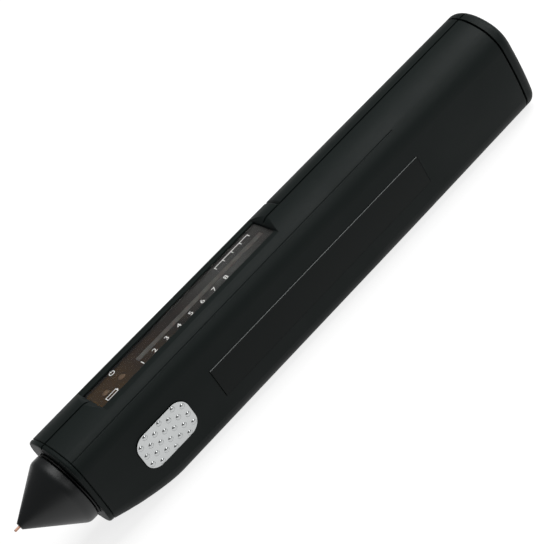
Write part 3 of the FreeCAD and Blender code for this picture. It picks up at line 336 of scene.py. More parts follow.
@dataclass(frozen=True)
class SmokedAcrylic(Finish):
    """Tinted acrylic sheet, clear and nearly mirror smooth, with faint smears and ink round its rim.

    The ink keeps lamps from shining in through the rim, which would draw a bright line at the far end.
    """

    tint: str = "#d8d4cf"
    rim_ink: str = "#0b0c0c"
    rim_below: float = 0.3
    ior: float = 1.49
    roughness: float = 0.03
    smear_mm: float = 9.0
    smear_from: float = 0.35

    def shader(self, tree: bpy.types.NodeTree) -> Socket:
        """Builds the nodes of the finish.

        Args:
            tree: An empty node tree.

        Returns:
            The shader socket that goes to the output.
        """
        coords = add_node(tree, "ShaderNodeTexCoord").outputs
        place = coords["Object"]
        smear = add_node(
            tree, "ShaderNodeTexNoise", {"Vector": place, "Scale": 1 / (self.smear_mm * MM), "Detail": 4.0}
        ).outputs["Fac"]
        roughness = add_node(
            tree,
            "ShaderNodeMapRange",
            {
                "Value": smear,
                "From Min": self.smear_from,
                "From Max": NOISE_HIGH,
                "To Min": self.roughness / 2,
                "To Max": self.roughness * 2,
            },
        ).outputs["Result"]
        rise = add_node(tree, "ShaderNodeSeparateXYZ", {"Vector": coords["Normal"]}).outputs["Z"]
        rise = add_node(tree, "ShaderNodeMath", {0: rise}, operation="ABSOLUTE").outputs[0]
        rim = add_node(tree, "ShaderNodeMath", {0: rise, 1: self.rim_below}, operation="LESS_THAN").outputs[0]
        tint = add_node(
            tree, "ShaderNodeMix", {0: rim, 6: linear(self.tint), 7: linear(self.rim_ink)}, data_type="RGBA"
        ).outputs[2]
        clear = add_node(tree, "ShaderNodeMath", {0: 1.0, 1: rim}, operation="SUBTRACT").outputs[0]
        return add_node(
            tree,
            "ShaderNodeBsdfPrincipled",
            {"Base Color": tint, "Roughness": roughness, "IOR": self.ior, "Transmission Weight": clear},
        ).outputs["BSDF"]


@dataclass(frozen=True)
class DisplayFilm(Finish):
    """Film under the lens whose tones along it carry painted light: a warm brown painted reflection at the
    lamps, a lighter slate grey painted along the bar, dark at both long edges.
    """

    # Tones along the film by mm from the point: the brown at the lamps is a painted reflection and the
    # lighter slate along the bar is painted light.
    tone_and_painted_light_stops: tuple[tuple[float, str], ...] = (
        (36.0, "#583e04"),
        (46.0, "#3e2808"),
        (56.0, "#261e16"),
        (72.0, "#666c70"),
        (84.0, "#46494a"),
    )
    border_colour: str = "#121615"
    border_from_mm: float = 3.7
    border_to_mm: float = 4.7
    roughness: tuple[float, float] = (0.5, 0.75)
    specular: float = 0.1
    speckle_mm: float = 0.8

    def shader(self, tree: bpy.types.NodeTree) -> Socket:
        """Builds the nodes of the finish.

        Args:
            tree: An empty node tree.

        Returns:
            The shader socket that goes to the output.
        """
        place = add_node(tree, "ShaderNodeTexCoord").outputs["Object"]
        parts = add_node(tree, "ShaderNodeSeparateXYZ", {"Vector": place}).outputs
        colour: Input = linear(self.tone_and_painted_light_stops[0][1])
        for (start, _), (end, code) in zip(self.tone_and_painted_light_stops, self.tone_and_painted_light_stops[1:]):
            share = add_node(
                tree,
                "ShaderNodeMapRange",
                {"Value": parts["X"], "From Min": at(start, 0, 0).x, "From Max": at(end, 0, 0).x},
                interpolation_type="SMOOTHSTEP",
            ).outputs["Result"]
            colour = add_node(
                tree, "ShaderNodeMix", {0: share, 6: colour, 7: linear(code)}, data_type="RGBA"
            ).outputs[2]
        across = add_node(tree, "ShaderNodeMath", {0: parts["Y"]}, operation="ABSOLUTE").outputs[0]
        border = add_node(
            tree,
            "ShaderNodeMapRange",
            {"Value": across, "From Min": self.border_from_mm * MM, "From Max": self.border_to_mm * MM},
            interpolation_type="SMOOTHSTEP",
        ).outputs["Result"]
        colour = add_node(
            tree, "ShaderNodeMix", {0: border, 6: colour, 7: linear(self.border_colour)}, data_type="RGBA"
        ).outputs[2]
        speckle = add_node(
            tree, "ShaderNodeTexNoise", {"Vector": place, "Scale": 1 / (self.speckle_mm * MM), "Detail": 2.0}
        ).outputs["Fac"]
        low, high = self.roughness
        roughness = add_node(
            tree, "ShaderNodeMapRange", {"Value": speckle, "To Min": low, "To Max": high}
        ).outputs["Result"]
        return add_node(
            tree,
            "ShaderNodeBsdfPrincipled",
            {"Base Color": colour, "Roughness": roughness, "Specular IOR Level": self.specular},
        ).outputs["BSDF"]


@dataclass(frozen=True)
class MilkyDiffuser(Finish):
    """Milk-white polycarbonate with painted light: a little brighter over each light chip behind it."""

    colour: str = "#838483"
    painted_chip_light_colour: str = "#8f9191"
    chip_pitch_mm: float = 3.2
    unevenness: float = 0.3
    roughness: float = 0.4
    ior: float = 1.58
    milk: float = 0.15
    milk_depth_mm: float = 1.0

    def shader(self, tree: bpy.types.NodeTree) -> Socket:
        """Builds the nodes of the finish.

        Args:
            tree: An empty node tree.

        Returns:
            The shader socket that goes to the output.
        """
        place = add_node(tree, "ShaderNodeTexCoord").outputs["Object"]
        # A wave texture at scale 1 repeats every pi / 10 units.
        bands = add_node(
            tree,
            "ShaderNodeTexWave",
            {
                "Vector": place,
                "Scale": math.pi / 10 / (self.chip_pitch_mm * MM),
                "Distortion": self.unevenness,
            },
            wave_type="BANDS",
            bands_direction="X",
        ).outputs["Fac"]
        # Painted light: the bands brighten the colour over each light chip.
        colour = add_node(
            tree,
            "ShaderNodeMix",
            {0: bands, 6: linear(self.colour), 7: linear(self.painted_chip_light_colour)},
            data_type="RGBA",
        ).outputs[2]
        return add_node(
            tree,
            "ShaderNodeBsdfPrincipled",
            {
                "Base Color": colour,
                "Roughness": self.roughness,
                "IOR": self.ior,
                "Subsurface Weight": self.milk,
                "Subsurface Scale": self.milk_depth_mm * MM,
            },
        ).outputs["BSDF"]


@dataclass(frozen=True)
class SolderMask(Finish):
    """Green solder mask on a glass-fibre board, paler over the copper tracks."""

    colour: str = "#12402a"
    track_colour: str = "#1f6a43"
    track_mm: float = 0.35
    track_pitch_mm: float = 1.27
    track_rise_mm: float = 0.03
    track_strength: float = 0.4
    run_pitches: float = 6.0
    roughness: float = 0.3
    ior: float = 1.55

    def shader(self, tree: bpy.types.NodeTree) -> Socket:
        """Builds the nodes of the finish.

        Args:
            tree: An empty node tree.

        Returns:
            The shader socket that goes to the output.
        """
        place = add_node(tree, "ShaderNodeTexCoord").outputs["Object"]
        tracks = add_node(
            tree,
            "ShaderNodeTexBrick",
            {
                "Vector": place,
                "Color1": linear(self.colour),
                "Color2": linear(self.colour),
                "Mortar": linear(self.track_colour),
                "Scale": 1 / (self.track_pitch_mm * MM),
                "Mortar Size": self.track_mm / self.track_pitch_mm / 2,
                "Brick Width": self.run_pitches,
                "Row Height": 1.0,
            },
            offset_frequency=3,
        )
        normal = add_node(
            tree,
            "ShaderNodeBump",
            {
                "Strength": self.track_strength,
                "Distance": self.track_rise_mm * MM,
                "Height": tracks.outputs["Fac"],
            },
        ).outputs["Normal"]
        return add_node(
            tree,
            "ShaderNodeBsdfPrincipled",
            {
                "Base Color": tracks.outputs["Color"],
                "Roughness": self.roughness,
                "IOR": self.ior,
                "Normal": normal,
            },
        ).outputs["BSDF"]


@dataclass(frozen=True)
class ShrinkSleeve(Finish):
    """Glossy film shrunk on a dry cell: pale, with a dark band at the positive end and shallow wrinkles."""

    body_colour: str = "#b9bdbf"
    band_colour: str = "#27496b"
    border_mm: float = 130.0
    positive_rear: bool = True
    wrinkle_mm: float = 2.5
    wrinkle_height_mm: float = 0.05
    wrinkle_strength: float = 0.3
    roughness: float = 0.28
    ior: float = 1.57

    def shader(self, tree: bpy.types.NodeTree) -> Socket:
        """Builds the nodes of the finish.

        Args:
            tree: An empty node tree.

        Returns:
            The shader socket that goes to the output.
        """
        place = add_node(tree, "ShaderNodeTexCoord").outputs["Object"]
        along = add_node(tree, "ShaderNodeSeparateXYZ", {"Vector": place}).outputs["X"]
        border = at(self.border_mm, 0, 0).x
        side = "GREATER_THAN" if self.positive_rear else "LESS_THAN"
        band = add_node(tree, "ShaderNodeMath", {0: along, 1: border}, operation=side).outputs[0]
        colour = add_node(
            tree,
            "ShaderNodeMix",
            {0: band, 6: linear(self.body_colour), 7: linear(self.band_colour)},
            data_type="RGBA",
        ).outputs[2]
        wrinkle = add_node(
            tree, "ShaderNodeTexNoise", {"Vector": place, "Scale": 1 / (self.wrinkle_mm * MM), "Detail": 2.0}
        ).outputs["Fac"]
        normal = add_node(
            tree,
            "ShaderNodeBump",
            {
                "Strength": self.wrinkle_strength,
                "Distance": self.wrinkle_height_mm * MM,
                "Height": wrinkle,
            },
        ).outputs["Normal"]
        return add_node(
            tree,
            "ShaderNodeBsdfPrincipled",
            {"Base Color": colour, "Roughness": self.roughness, "IOR": self.ior, "Normal": normal},
        ).outputs["BSDF"]


@dataclass(frozen=True)
class StudioFloor(Finish):
    """Matt board that the camera and shiny faces see near white, with a light shadow."""

    colour: str = "#8f8f8f"
    roughness: float = 0.9
    glow: float = 0.8

    def shader(self, tree: bpy.types.NodeTree) -> Socket:
        """Builds the nodes of the finish.

        Args:
            tree: An empty node tree.

        Returns:
            The shader socket that goes to the output.
        """
        rays = add_node(tree, "ShaderNodeLightPath").outputs
        seen = rays["Is Camera Ray"]
        for kind in ("Is Glossy Ray", "Is Transmission Ray"):
            seen = add_node(tree, "ShaderNodeMath", {0: seen, 1: rays[kind]}, operation="MAXIMUM").outputs[0]
        strength = add_node(
            tree, "ShaderNodeMath", {0: seen, 1: self.glow}, operation="MULTIPLY"
        ).outputs[0]
        return add_node(
            tree,
            "ShaderNodeBsdfPrincipled",
            {
                "Base Color": linear(self.colour),
                "Roughness": self.roughness,
                "Specular IOR Level": 0.0,
                "Emission Color": (1.0, 1.0, 1.0, 1.0),
                "Emission Strength": strength,
            },
        ).outputs["BSDF"]


# ABS as moulded from a finely eroded tool: deep black with one broad, soft sheen and no sharp highlight.
SATIN_BLACK_ABS = MouldedPlastic(
    "satin_black_abs", colour="#101615", mottle_colour="#131918", roughness=0.55, specular=0.11
)
# The cone's ABS is rubbed by hands and stones, which gives it a narrower and clearer highlight.
RUBBED_BLACK_ABS = MouldedPlastic(
    "rubbed_black_abs",
    colour="#0e1112",
    mottle_colour="#121516",
    roughness=0.42,
    specular=0.37,
    grain_height_mm=0.005,
)
# Dyed nylon: greyer and waxier than ABS, with hardly any highlight.
DARK_NYLON = MouldedPlastic(
    "dark_nylon", colour="#151616", mottle_colour="#1b1c1c", roughness=0.5, specular=0.2
)
# Undyed nylon: a milky cream with a waxy gleam.
NATURAL_NYLON = MouldedPlastic(
    "natural_nylon", colour="#d6d1c2", mottle_colour="#cbc5b4", roughness=0.5
)
# Polyester label sheet with a hard coat over black ink: flat, a little glossier than the housing, with a
# painted highlight on its upper edge.
GLOSS_BLACK_POLYESTER = TopEdgeHighlightSheet(
    "gloss_black_polyester",
    colour="#0c1110",
    mottle_colour="#101514",
    roughness=0.36,
    specular=0.09,
    grain_height_mm=0.003,
    edge_mm=0.02,
)
# Filled epoxy of chip bodies: dull charcoal with a fine tooth.
MATT_BLACK_EPOXY = MouldedPlastic(
    "matt_black_epoxy", colour="#202122", mottle_colour="#272829", roughness=0.6
)
# The switch knob's ABS: a shade greyer than the housing, dull from its rough mould.
KNOB_BLACK_ABS = MouldedPlastic(
    "knob_black_abs", colour="#17191a", mottle_colour="#1c1e1f", roughness=0.55
)
# Tinted epoxy of the unlit lamps: pale brown, smooth and glossy.
CLEAR_LAMP_RESIN = MouldedPlastic(
    "clear_lamp_resin", colour="#a78a6c", mottle_colour="#b09475", roughness=0.2
)
# Fired alumina: chalky off-white.
CERAMIC_BODY = MouldedPlastic(
    "fired_alumina", colour="#e6e3da", mottle_colour="#dcd8cd", roughness=0.65
)
# Extruded PVC on the probe's leads: soft satin red.
RED_PVC = MouldedPlastic("red_pvc", colour="#8f1a16", mottle_colour="#7d1613", roughness=0.45)
# Extruded PVC on the battery leads: soft satin black.
BLACK_PVC = MouldedPlastic("black_pvc", colour="#1d1e1f", mottle_colour="#242526", roughness=0.45)
# Shrunk film on the capacitor: dark blue and glossy.
CAPACITOR_FILM = MouldedPlastic(
    "capacitor_film", colour="#1c2438", mottle_colour="#212a40", roughness=0.3
)
# Screen-printed white ink: flat, slightly uneven and with no gloss.
PRINT_WHITE = MouldedPlastic(
    "white_screen_ink",
    colour="#e6e6e3",
    mottle_colour="#dcdcd9",
    roughness=0.6,
    edge_mm=0.01,
    grain_mm=0.1,
    mottle_mm=2.0,
)
# Bead-blasted stainless steel: pale, even satin that catches the light on each bump.
BLASTED_STEEL = WorkedMetal(
    "blasted_stainless_steel", colour="#bfc1c1", stain_colour="#b5b7b7", roughness=0.18
)
# Bare copper wire, drawn and then turned: pink, with rings of tool marks and darker touches.
BARE_COPPER = WorkedMetal(
    "bare_copper",
    colour="#cba592",
    stain_colour="#b0836d",
    roughness=0.35,
    lay=Lay.TURNED,
    stain_mm=0.6,
    edge_mm=0.02,
)
# Free-cutting brass from the lathe: yellow with fine rings.
TURNED_BRASS = WorkedMetal(
    "turned_brass", colour="#c9a45c", stain_colour="#b8924a", lay=Lay.TURNED, line_mm=0.1
)
# Drawn spring wire: bright grey with sharp glints.
SPRING_WIRE = WorkedMetal(
    "spring_steel_wire", colour="#a9abad", stain_colour="#96989a", roughness=0.25, edge_mm=0.02
)
# Nickel over rolled strip: warm and bright, with faint rolling lines.
NICKEL_PLATE = WorkedMetal(
    "nickel_plate", colour="#c4c0b6", stain_colour="#b4b0a6", roughness=0.22, lay=Lay.BRUSHED
)
# Black oxide on the screws: near-black metal with a dull sheen.
BLACK_OXIDE = WorkedMetal(
    "black_oxide_steel", colour="#3b3c3e", stain_colour="#46474a", roughness=0.42
)
# Nickel-plated steel of the cells' ends: bright, with rings from the drawing press.
CAN_STEEL = WorkedMetal(
    "drawn_can_steel", colour="#c2c4c5", stain_colour="#b2b4b5", roughness=0.2, lay=Lay.TURNED
)


@dataclass
class Assembly:
    """Sub-assembly: dresses its CAD nodes and makes its own pieces."""

    body: str = "housing"

    def dressed(self) -> dict[str, Finish]:
        """Gives the finish of each CAD node that stays."""
        return {}

    def make(self) -> list[bpy.types.Object]:
        """Makes the new pieces of the sub-assembly."""
        return []

    def build(self) -> None:
        """Dresses the CAD nodes, makes the new pieces and reports each."""
        for node, finish in self.dressed().items():
            finish.dress(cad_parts[node])
            LOG.info("%s: %s", node, finish.name)
        for piece in self.make():
            LOG.info("%s: made, %d faces", piece.name, len(piece.data.polygons))


def activate(piece: bpy.types.Object) -> None:
    """Makes a piece the active object and the only selected one."""
    bpy.ops.object.select_all(action="DESELECT")
    piece.select_set(True)
    bpy.context.view_layer.objects.active = piece


def edit_whole() -> None:
    """Opens the active piece for editing with all of its mesh selected."""
    bpy.ops.object.mode_set(mode="EDIT")
    bpy.ops.mesh.select_all(action="SELECT")


def pick_faces(piece: bpy.types.Object, test: Callable[[bpy.types.MeshPolygon], bool]) -> None:
    """Selects the faces that pass a test and opens the piece for editing.

    Args:
        piece: The piece, in object mode.
        test: True for each face to select.
    """
    activate(piece)
    bpy.ops.object.mode_set(mode="EDIT")
    bpy.ops.mesh.select_all(action="DESELECT")
    bpy.ops.object.mode_set(mode="OBJECT")
    for face in piece.data.polygons:
        face.select = test(face)
    bpy.ops.object.mode_set(mode="EDIT")
    bpy.ops.mesh.select_mode(type="FACE")


def apply_modifier(piece: bpy.types.Object, kind: str, **settings: object) -> None:
    """Adds a modifier to a piece and applies it.

    Args:
        piece: The piece, in object mode.
        kind: Blender's name of the modifier.
        settings: Its options.
    """
    activate(piece)
    modifier = piece.modifiers.new(kind.lower(), kind)
    for name, value in settings.items():
        setattr(modifier, name, value)
    bpy.ops.object.modifier_apply(modifier=modifier.name)


def settle(piece: bpy.types.Object, name: str, angle: float = 35.0) -> None:
    """Names a piece, bakes its place into its mesh, cleans it and smooths its round faces.

    Args:
        piece: The piece in object mode.
        name: Its name.
        angle: Largest angle in degrees that is shaded smooth.
    """
    piece.name = name
    piece.data.name = name
    activate(piece)
    bpy.ops.object.transform_apply(location=True, rotation=True, scale=True)
    edit_whole()
    bpy.ops.mesh.remove_doubles(threshold=WELD_MM * MM)
    bpy.ops.mesh.normals_make_consistent(inside=False)
    bpy.ops.object.mode_set(mode="OBJECT")
    bpy.ops.object.shade_smooth_by_angle(angle=math.radians(angle))


@dataclass
class Housing(Assembly):
    """Two shells, battery cover, nose cone, collar and the screws that hold them."""

    def dressed(self) -> dict[str, Finish]:
        """Gives the finish of each CAD node that stays."""
        return {
            "left_shell": SATIN_BLACK_ABS,
            "right_shell": SATIN_BLACK_ABS,
            "battery_cover": SATIN_BLACK_ABS,
            "nose_cone": RUBBED_BLACK_ABS,
            "nose_collar": DARK_NYLON,
            "housing_screws": BLACK_OXIDE,
        }


def thin_sheet(size: tuple[float, float], middle: tuple[float, float]) -> bpy.types.Object:
    """Adds a flat rectangle that lies level.

    Args:
        size: Its length along X and width along Y in mm.
        middle: Its middle in mm from the probe's point and from the middle plane.

    Returns:
        The rectangle with its size in its mesh.
    """
    bpy.ops.object.select_all(action="DESELECT")
    bpy.ops.mesh.primitive_plane_add(size=1.0, location=at(*middle, 0.0))
    sheet = bpy.context.object
    sheet.scale = (size[0] * MM, size[1] * MM, 1.0)
    bpy.ops.object.transform_apply(location=False, rotation=False, scale=True)
    return sheet


def join(pieces: list[bpy.types.Object]) -> bpy.types.Object:
    """Joins pieces into the first of them."""
    bpy.ops.object.select_all(action="DESELECT")
    for piece in pieces:
        piece.select_set(True)
    bpy.context.view_layer.objects.active = pieces[0]
    bpy.ops.object.join()
    return pieces[0]


def hollow(
    piece: bpy.types.Object, border: float, test: Callable[[bpy.types.MeshPolygon], bool]
) -> None:
    """Opens flat faces and leaves a border of each.

    Args:
        piece: The piece, in object mode.
        border: Width of the border in mm.
        test: True for each face to open.
    """
    pick_faces(piece, test)
    bpy.ops.mesh.inset(thickness=border * MM)
    bpy.ops.mesh.delete(type="FACE")
    bpy.ops.object.mode_set(mode="OBJECT")


def extrude_up(piece: bpy.types.Object, height: float) -> None:
    """Turns a flat piece into a closed sheet of a thickness in metres."""
    pick_faces(piece, lambda face: True)
    bpy.ops.mesh.extrude_region_move(TRANSFORM_OT_translate={"value": (0.0, 0.0, height)})
    bpy.ops.object.mode_set(mode="OBJECT")


@dataclass
class Display(Assembly):
    """Lens, film, light bar, lamps and the white marks printed on the lens."""

    lens_top_mm: float = 25.55
    ink_mm: float = 0.02
    ink_smooth: float = 20.0
    stroke_mm: float = 0.19
    digit_height_mm: float = 1.55
    digit_share: float = 0.7
    thinning_mm: float = 0.01
    digit_y_mm: float = -3.3
    digit_places_mm: tuple[float, ...] = (43.5, 47.2, 50.9, 54.7, 58.4, 62.0, 65.7, 69.4)
    battery_place_mm: tuple[float, float] = (34.0, -3.35)
    battery_size_mm: tuple[float, float] = (3.2, 1.3)
    battery_nub_share: float = 0.4
    ready_place_mm: tuple[float, float] = (38.2, 3.0)
    ready_size_mm: float = 1.5
    ready_gap_strokes: float = 3.2
    ready_sides: int = 40
    span_mm: tuple[float, float] = (70.2, 80.8)
    span_y_mm: float = 2.9
    span_tick_mm: float = 1.2
    span_ticks: int = 5

    def dressed(self) -> dict[str, Finish]:
        """Gives the finish of each CAD node that stays."""
        return {
            "display_window": SmokedAcrylic("smoked_acrylic"),
            # The film's colours carry a painted reflection and painted light.
            "display_mask": DisplayFilm("display_film_painted_light"),
            "light_bar": MilkyDiffuser("milky_polycarbonate"),
            "bar_leds": CLEAR_LAMP_RESIN,
            "status_leds": CLEAR_LAMP_RESIN,
        }

    def print_mark(self, mark: bpy.types.Object, name: str) -> bpy.types.Object:
        """Gives a flat mark the thickness of ink and lays it on the lens.

        Args:
            mark: A flat mesh at height 0.
            name: Its name.

        Returns:
            The printed mark.
        """
        extrude_up(mark, self.ink_mm * MM)
        mark.location.z = self.lens_top_mm * MM
        settle(mark, name, self.ink_smooth)
        return mark

    def digit(self, text: str, x: float) -> bpy.types.Object:
        """Prints one numeral of the scale.

        Args:
            text: The numeral.
            x: Millimetres from the probe's point to its middle.

        Returns:
            The numeral as a thin mesh on the lens.
        """
        bpy.ops.object.select_all(action="DESELECT")
        bpy.ops.object.text_add()
        mark = bpy.context.object
        mark.data.body = text
        mark.data.size = self.digit_height_mm * MM / self.digit_share
        mark.data.align_x = mark.data.align_y = "CENTER"
        mark.data.extrude = self.ink_mm * MM / 2
        mark.data.offset = -self.thinning_mm * MM
        bpy.ops.object.convert(target="MESH")
        mark.location = at(x, self.digit_y_mm, self.lens_top_mm + self.ink_mm / 2)
        settle(mark, "scale_digit_" + text, self.ink_smooth)
        return mark

    def battery_mark(self) -> bpy.types.Object:
        """Prints a battery's outline with its nub beside the front lamp."""
        x, y = self.battery_place_mm
        length, width = self.battery_size_mm
        case = thin_sheet(self.battery_size_mm, self.battery_place_mm)
        hollow(case, self.stroke_mm, lambda face: True)
        nub_size = (self.stroke_mm, width * self.battery_nub_share)
        nub = thin_sheet(nub_size, (x + length / 2 + self.stroke_mm / 2, y))
        return self.print_mark(join([case, nub]), "battery_mark")

    def ready_mark(self) -> bpy.types.Object:
        """Prints a ring with a bar through its top beside the second lamp."""
        x, y = self.ready_place_mm
        radius = self.ready_size_mm / 2
        bpy.ops.object.select_all(action="DESELECT")
        bpy.ops.mesh.primitive_circle_add(
            vertices=self.ready_sides, radius=radius * MM, fill_type="NGON", location=at(x, y, 0.0)
        )
        ring = bpy.context.object
        hollow(ring, self.stroke_mm, lambda face: True)
        half_gap = self.stroke_mm * self.ready_gap_strokes / 2 * MM
        pick_faces(ring, lambda face: face.center.y > radius / 2 * MM and abs(face.center.x) < half_gap)
        bpy.ops.mesh.delete(type="FACE")
        bpy.ops.object.mode_set(mode="OBJECT")
        bar = thin_sheet((self.stroke_mm, radius), (x, y + radius * 3 / 4))
        return self.print_mark(join([ring, bar]), "ready_mark")

    def span_mark(self) -> bpy.types.Object:
        """Prints a line with short ticks along the last part of the light bar."""
        first, last = self.span_mm
        half = self.stroke_mm / 2
        tick = self.span_tick_mm - self.stroke_mm
        strokes = [thin_sheet((last - first, self.stroke_mm), ((first + last) / 2, self.span_y_mm))]
        for index in range(self.span_ticks):
            x = first + (last - first) * index / (self.span_ticks - 1)
            inward = min(max(x, first + half), last - half)
            strokes.append(thin_sheet((self.stroke_mm, tick), (inward, self.span_y_mm - tick / 2 - half)))
        return self.print_mark(join(strokes), "span_mark")

    def make(self) -> list[bpy.types.Object]:
        """Makes the printed marks.

        Returns:
            The new pieces.
        """
        pieces = [self.digit(str(i + 1), x) for i, x in enumerate(self.digit_places_mm)]
        pieces += [self.battery_mark(), self.ready_mark(), self.span_mark()]
        for piece in pieces:
            PRINT_WHITE.dress(piece)
            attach(piece, self.body)
        return pieces


@dataclass
class Grips(Assembly):
    """Bumped finger plates and the bare name plate."""

    def dressed(self) -> dict[str, Finish]:
        """Gives the finish of each CAD node that stays."""
        return {
            "left_finger_plate": BLASTED_STEEL,
            "right_finger_plate": BLASTED_STEEL,
            "finger_plate_leads": NICKEL_PLATE,
            "name_plate": GLOSS_BLACK_POLYESTER,
        }


@dataclass
class Probe(Assembly):
    """Sprung copper point with its holder, heater and bush, and its spring and leads."""

    joint: str = "probe_retract"
    travel_mm: float = 1.35
    tube_sides: int = 14
    tube_smooth: float = 60.0
    spring_wire_mm: float = 0.15
    spring_turns: int = 5
    turn_steps: int = 32
    lead_radius_mm: float = 0.3
    lead_spacing_mm: float = 1.8
    lead_sag_mm: float = 0.9
    lead_steps: int = 16
    lead_spare: float = 0.25

    def dressed(self) -> dict[str, Finish]:
        """Gives the finish of each CAD node that stays."""
        return {
            "probe_tip": BARE_COPPER,
            "probe_holder": TURNED_BRASS,
            "probe_bush": NATURAL_NYLON,
            "heater_core": CERAMIC_BODY,
        }

    def spring(self) -> bpy.types.Object:
        """Winds the spring between the holder's shoulder and the bush.

        Returns:
            The coil as one closed tube.
        """
        low, high = (Vector(corner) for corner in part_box("probe_spring"))
        wire = self.spring_wire_mm * MM
        middle = (low + high) / 2
        bpy.ops.object.select_all(action="DESELECT")
        bpy.ops.mesh.primitive_circle_add(
            vertices=self.tube_sides,
            radius=wire,
            location=(low.x + wire, middle.y, middle.z),
            rotation=(math.pi / 2, 0.0, 0.0),
        )
        spring = bpy.context.object
        bpy.ops.object.transform_apply(location=False, rotation=True, scale=True)
        edit_whole()
        bpy.ops.transform.translate(value=(0.0, 0.0, (high.z - low.z) / 2 - wire))
        bpy.ops.object.mode_set(mode="OBJECT")
        apply_modifier(
            spring,
            "SCREW",
            axis="X",
            screw_offset=(high.x - low.x - 2 * wire) / self.spring_turns,
            iterations=self.spring_turns,
            steps=self.turn_steps,
            render_steps=self.turn_steps,
        )
        edit_whole()
        bpy.ops.mesh.fill_holes(sides=0)
        bpy.ops.object.mode_set(mode="OBJECT")
        settle(spring, "probe_coil", self.tube_smooth)
        SPRING_WIRE.dress(spring)
        return spring

    def lead(self, side: int) -> bpy.types.Object:
        """Bends one slack lead from the heater to the connector.

        Args:
            side: -1 for the left lead and 1 for the right one.

        Returns:
            The lead, cut flat at both ends.
        """
        low, high = (Vector(corner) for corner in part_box("probe_leads"))
        sag = self.lead_sag_mm * MM
        bend = ((high.x - low.x) ** 2 / 4 + sag**2) / (2 * sag)
        turn = math.asin((high.x - low.x) / 2 / bend) + self.lead_spare
        radius = self.lead_radius_mm * MM
        middle_y = side * self.lead_spacing_mm / 2 * MM
        centre = Vector(((low.x + high.x) / 2, middle_y, low.z + radius + bend))
        bpy.ops.object.select_all(action="DESELECT")
        bpy.ops.mesh.primitive_circle_add(
            vertices=self.tube_sides,
            radius=radius,
            location=centre - bend * Vector((math.sin(turn), 0.0, math.cos(turn))),
            rotation=(0.0, math.pi / 2 + turn, 0.0),
        )
        lead = bpy.context.object
        edit_whole()
        bpy.ops.mesh.spin(steps=self.lead_steps, angle=2 * turn, center=centre, axis=(0.0, 1.0, 0.0))
        for corner, way in ((low, -1.0), (high, 1.0)):
            bpy.ops.mesh.select_all(action="SELECT")
            bpy.ops.mesh.bisect(
                plane_co=corner,
                plane_no=(way, 0.0, 0.0),
                use_fill=True,
                clear_outer=True,
                threshold=CUT_MM * MM,
            )
        bpy.ops.object.mode_set(mode="OBJECT")
        return lead

    def leads(self) -> bpy.types.Object:
        """Makes the pair of leads.

        Returns:
            Both leads as one piece.
        """
        pair = join([self.lead(-1), self.lead(1)])
        settle(pair, "probe_lead_pair", self.tube_smooth)
        RED_PVC.dress(pair)
        return pair

    def make(self) -> list[bpy.types.Object]:
        """Makes the spring and the leads in place of their CAD nodes.

        Returns:
            The new pieces.
        """
        made = {
            "probe_spring": ("spring_steel", self.spring()),
            "probe_leads": ("lead_insulation", self.leads()),
        }
        for node, (slot, piece) in made.items():
            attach(piece, self.body)
            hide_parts(node)
            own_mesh(piece)
        return [piece for _, piece in made.values()]


@dataclass
class Circuit(Assembly):
    """Board with its components and the power switch."""

    def dressed(self) -> dict[str, Finish]:
        """Gives the finish of each CAD node that stays."""
        return {
            "circuit_board": SolderMask("green_solder_mask"),
            "controller_chip": MATT_BLACK_EPOXY,
            "reservoir_capacitor": CAPACITOR_FILM,
            "surface_resistors": MATT_BLACK_EPOXY,
            "buzzer": MATT_BLACK_EPOXY,
            "lead_connector": NATURAL_NYLON,
            "switch_case": NICKEL_PLATE,
            "switch_slider": NATURAL_NYLON,
            "switch_knob": KNOB_BLACK_ABS,
        }


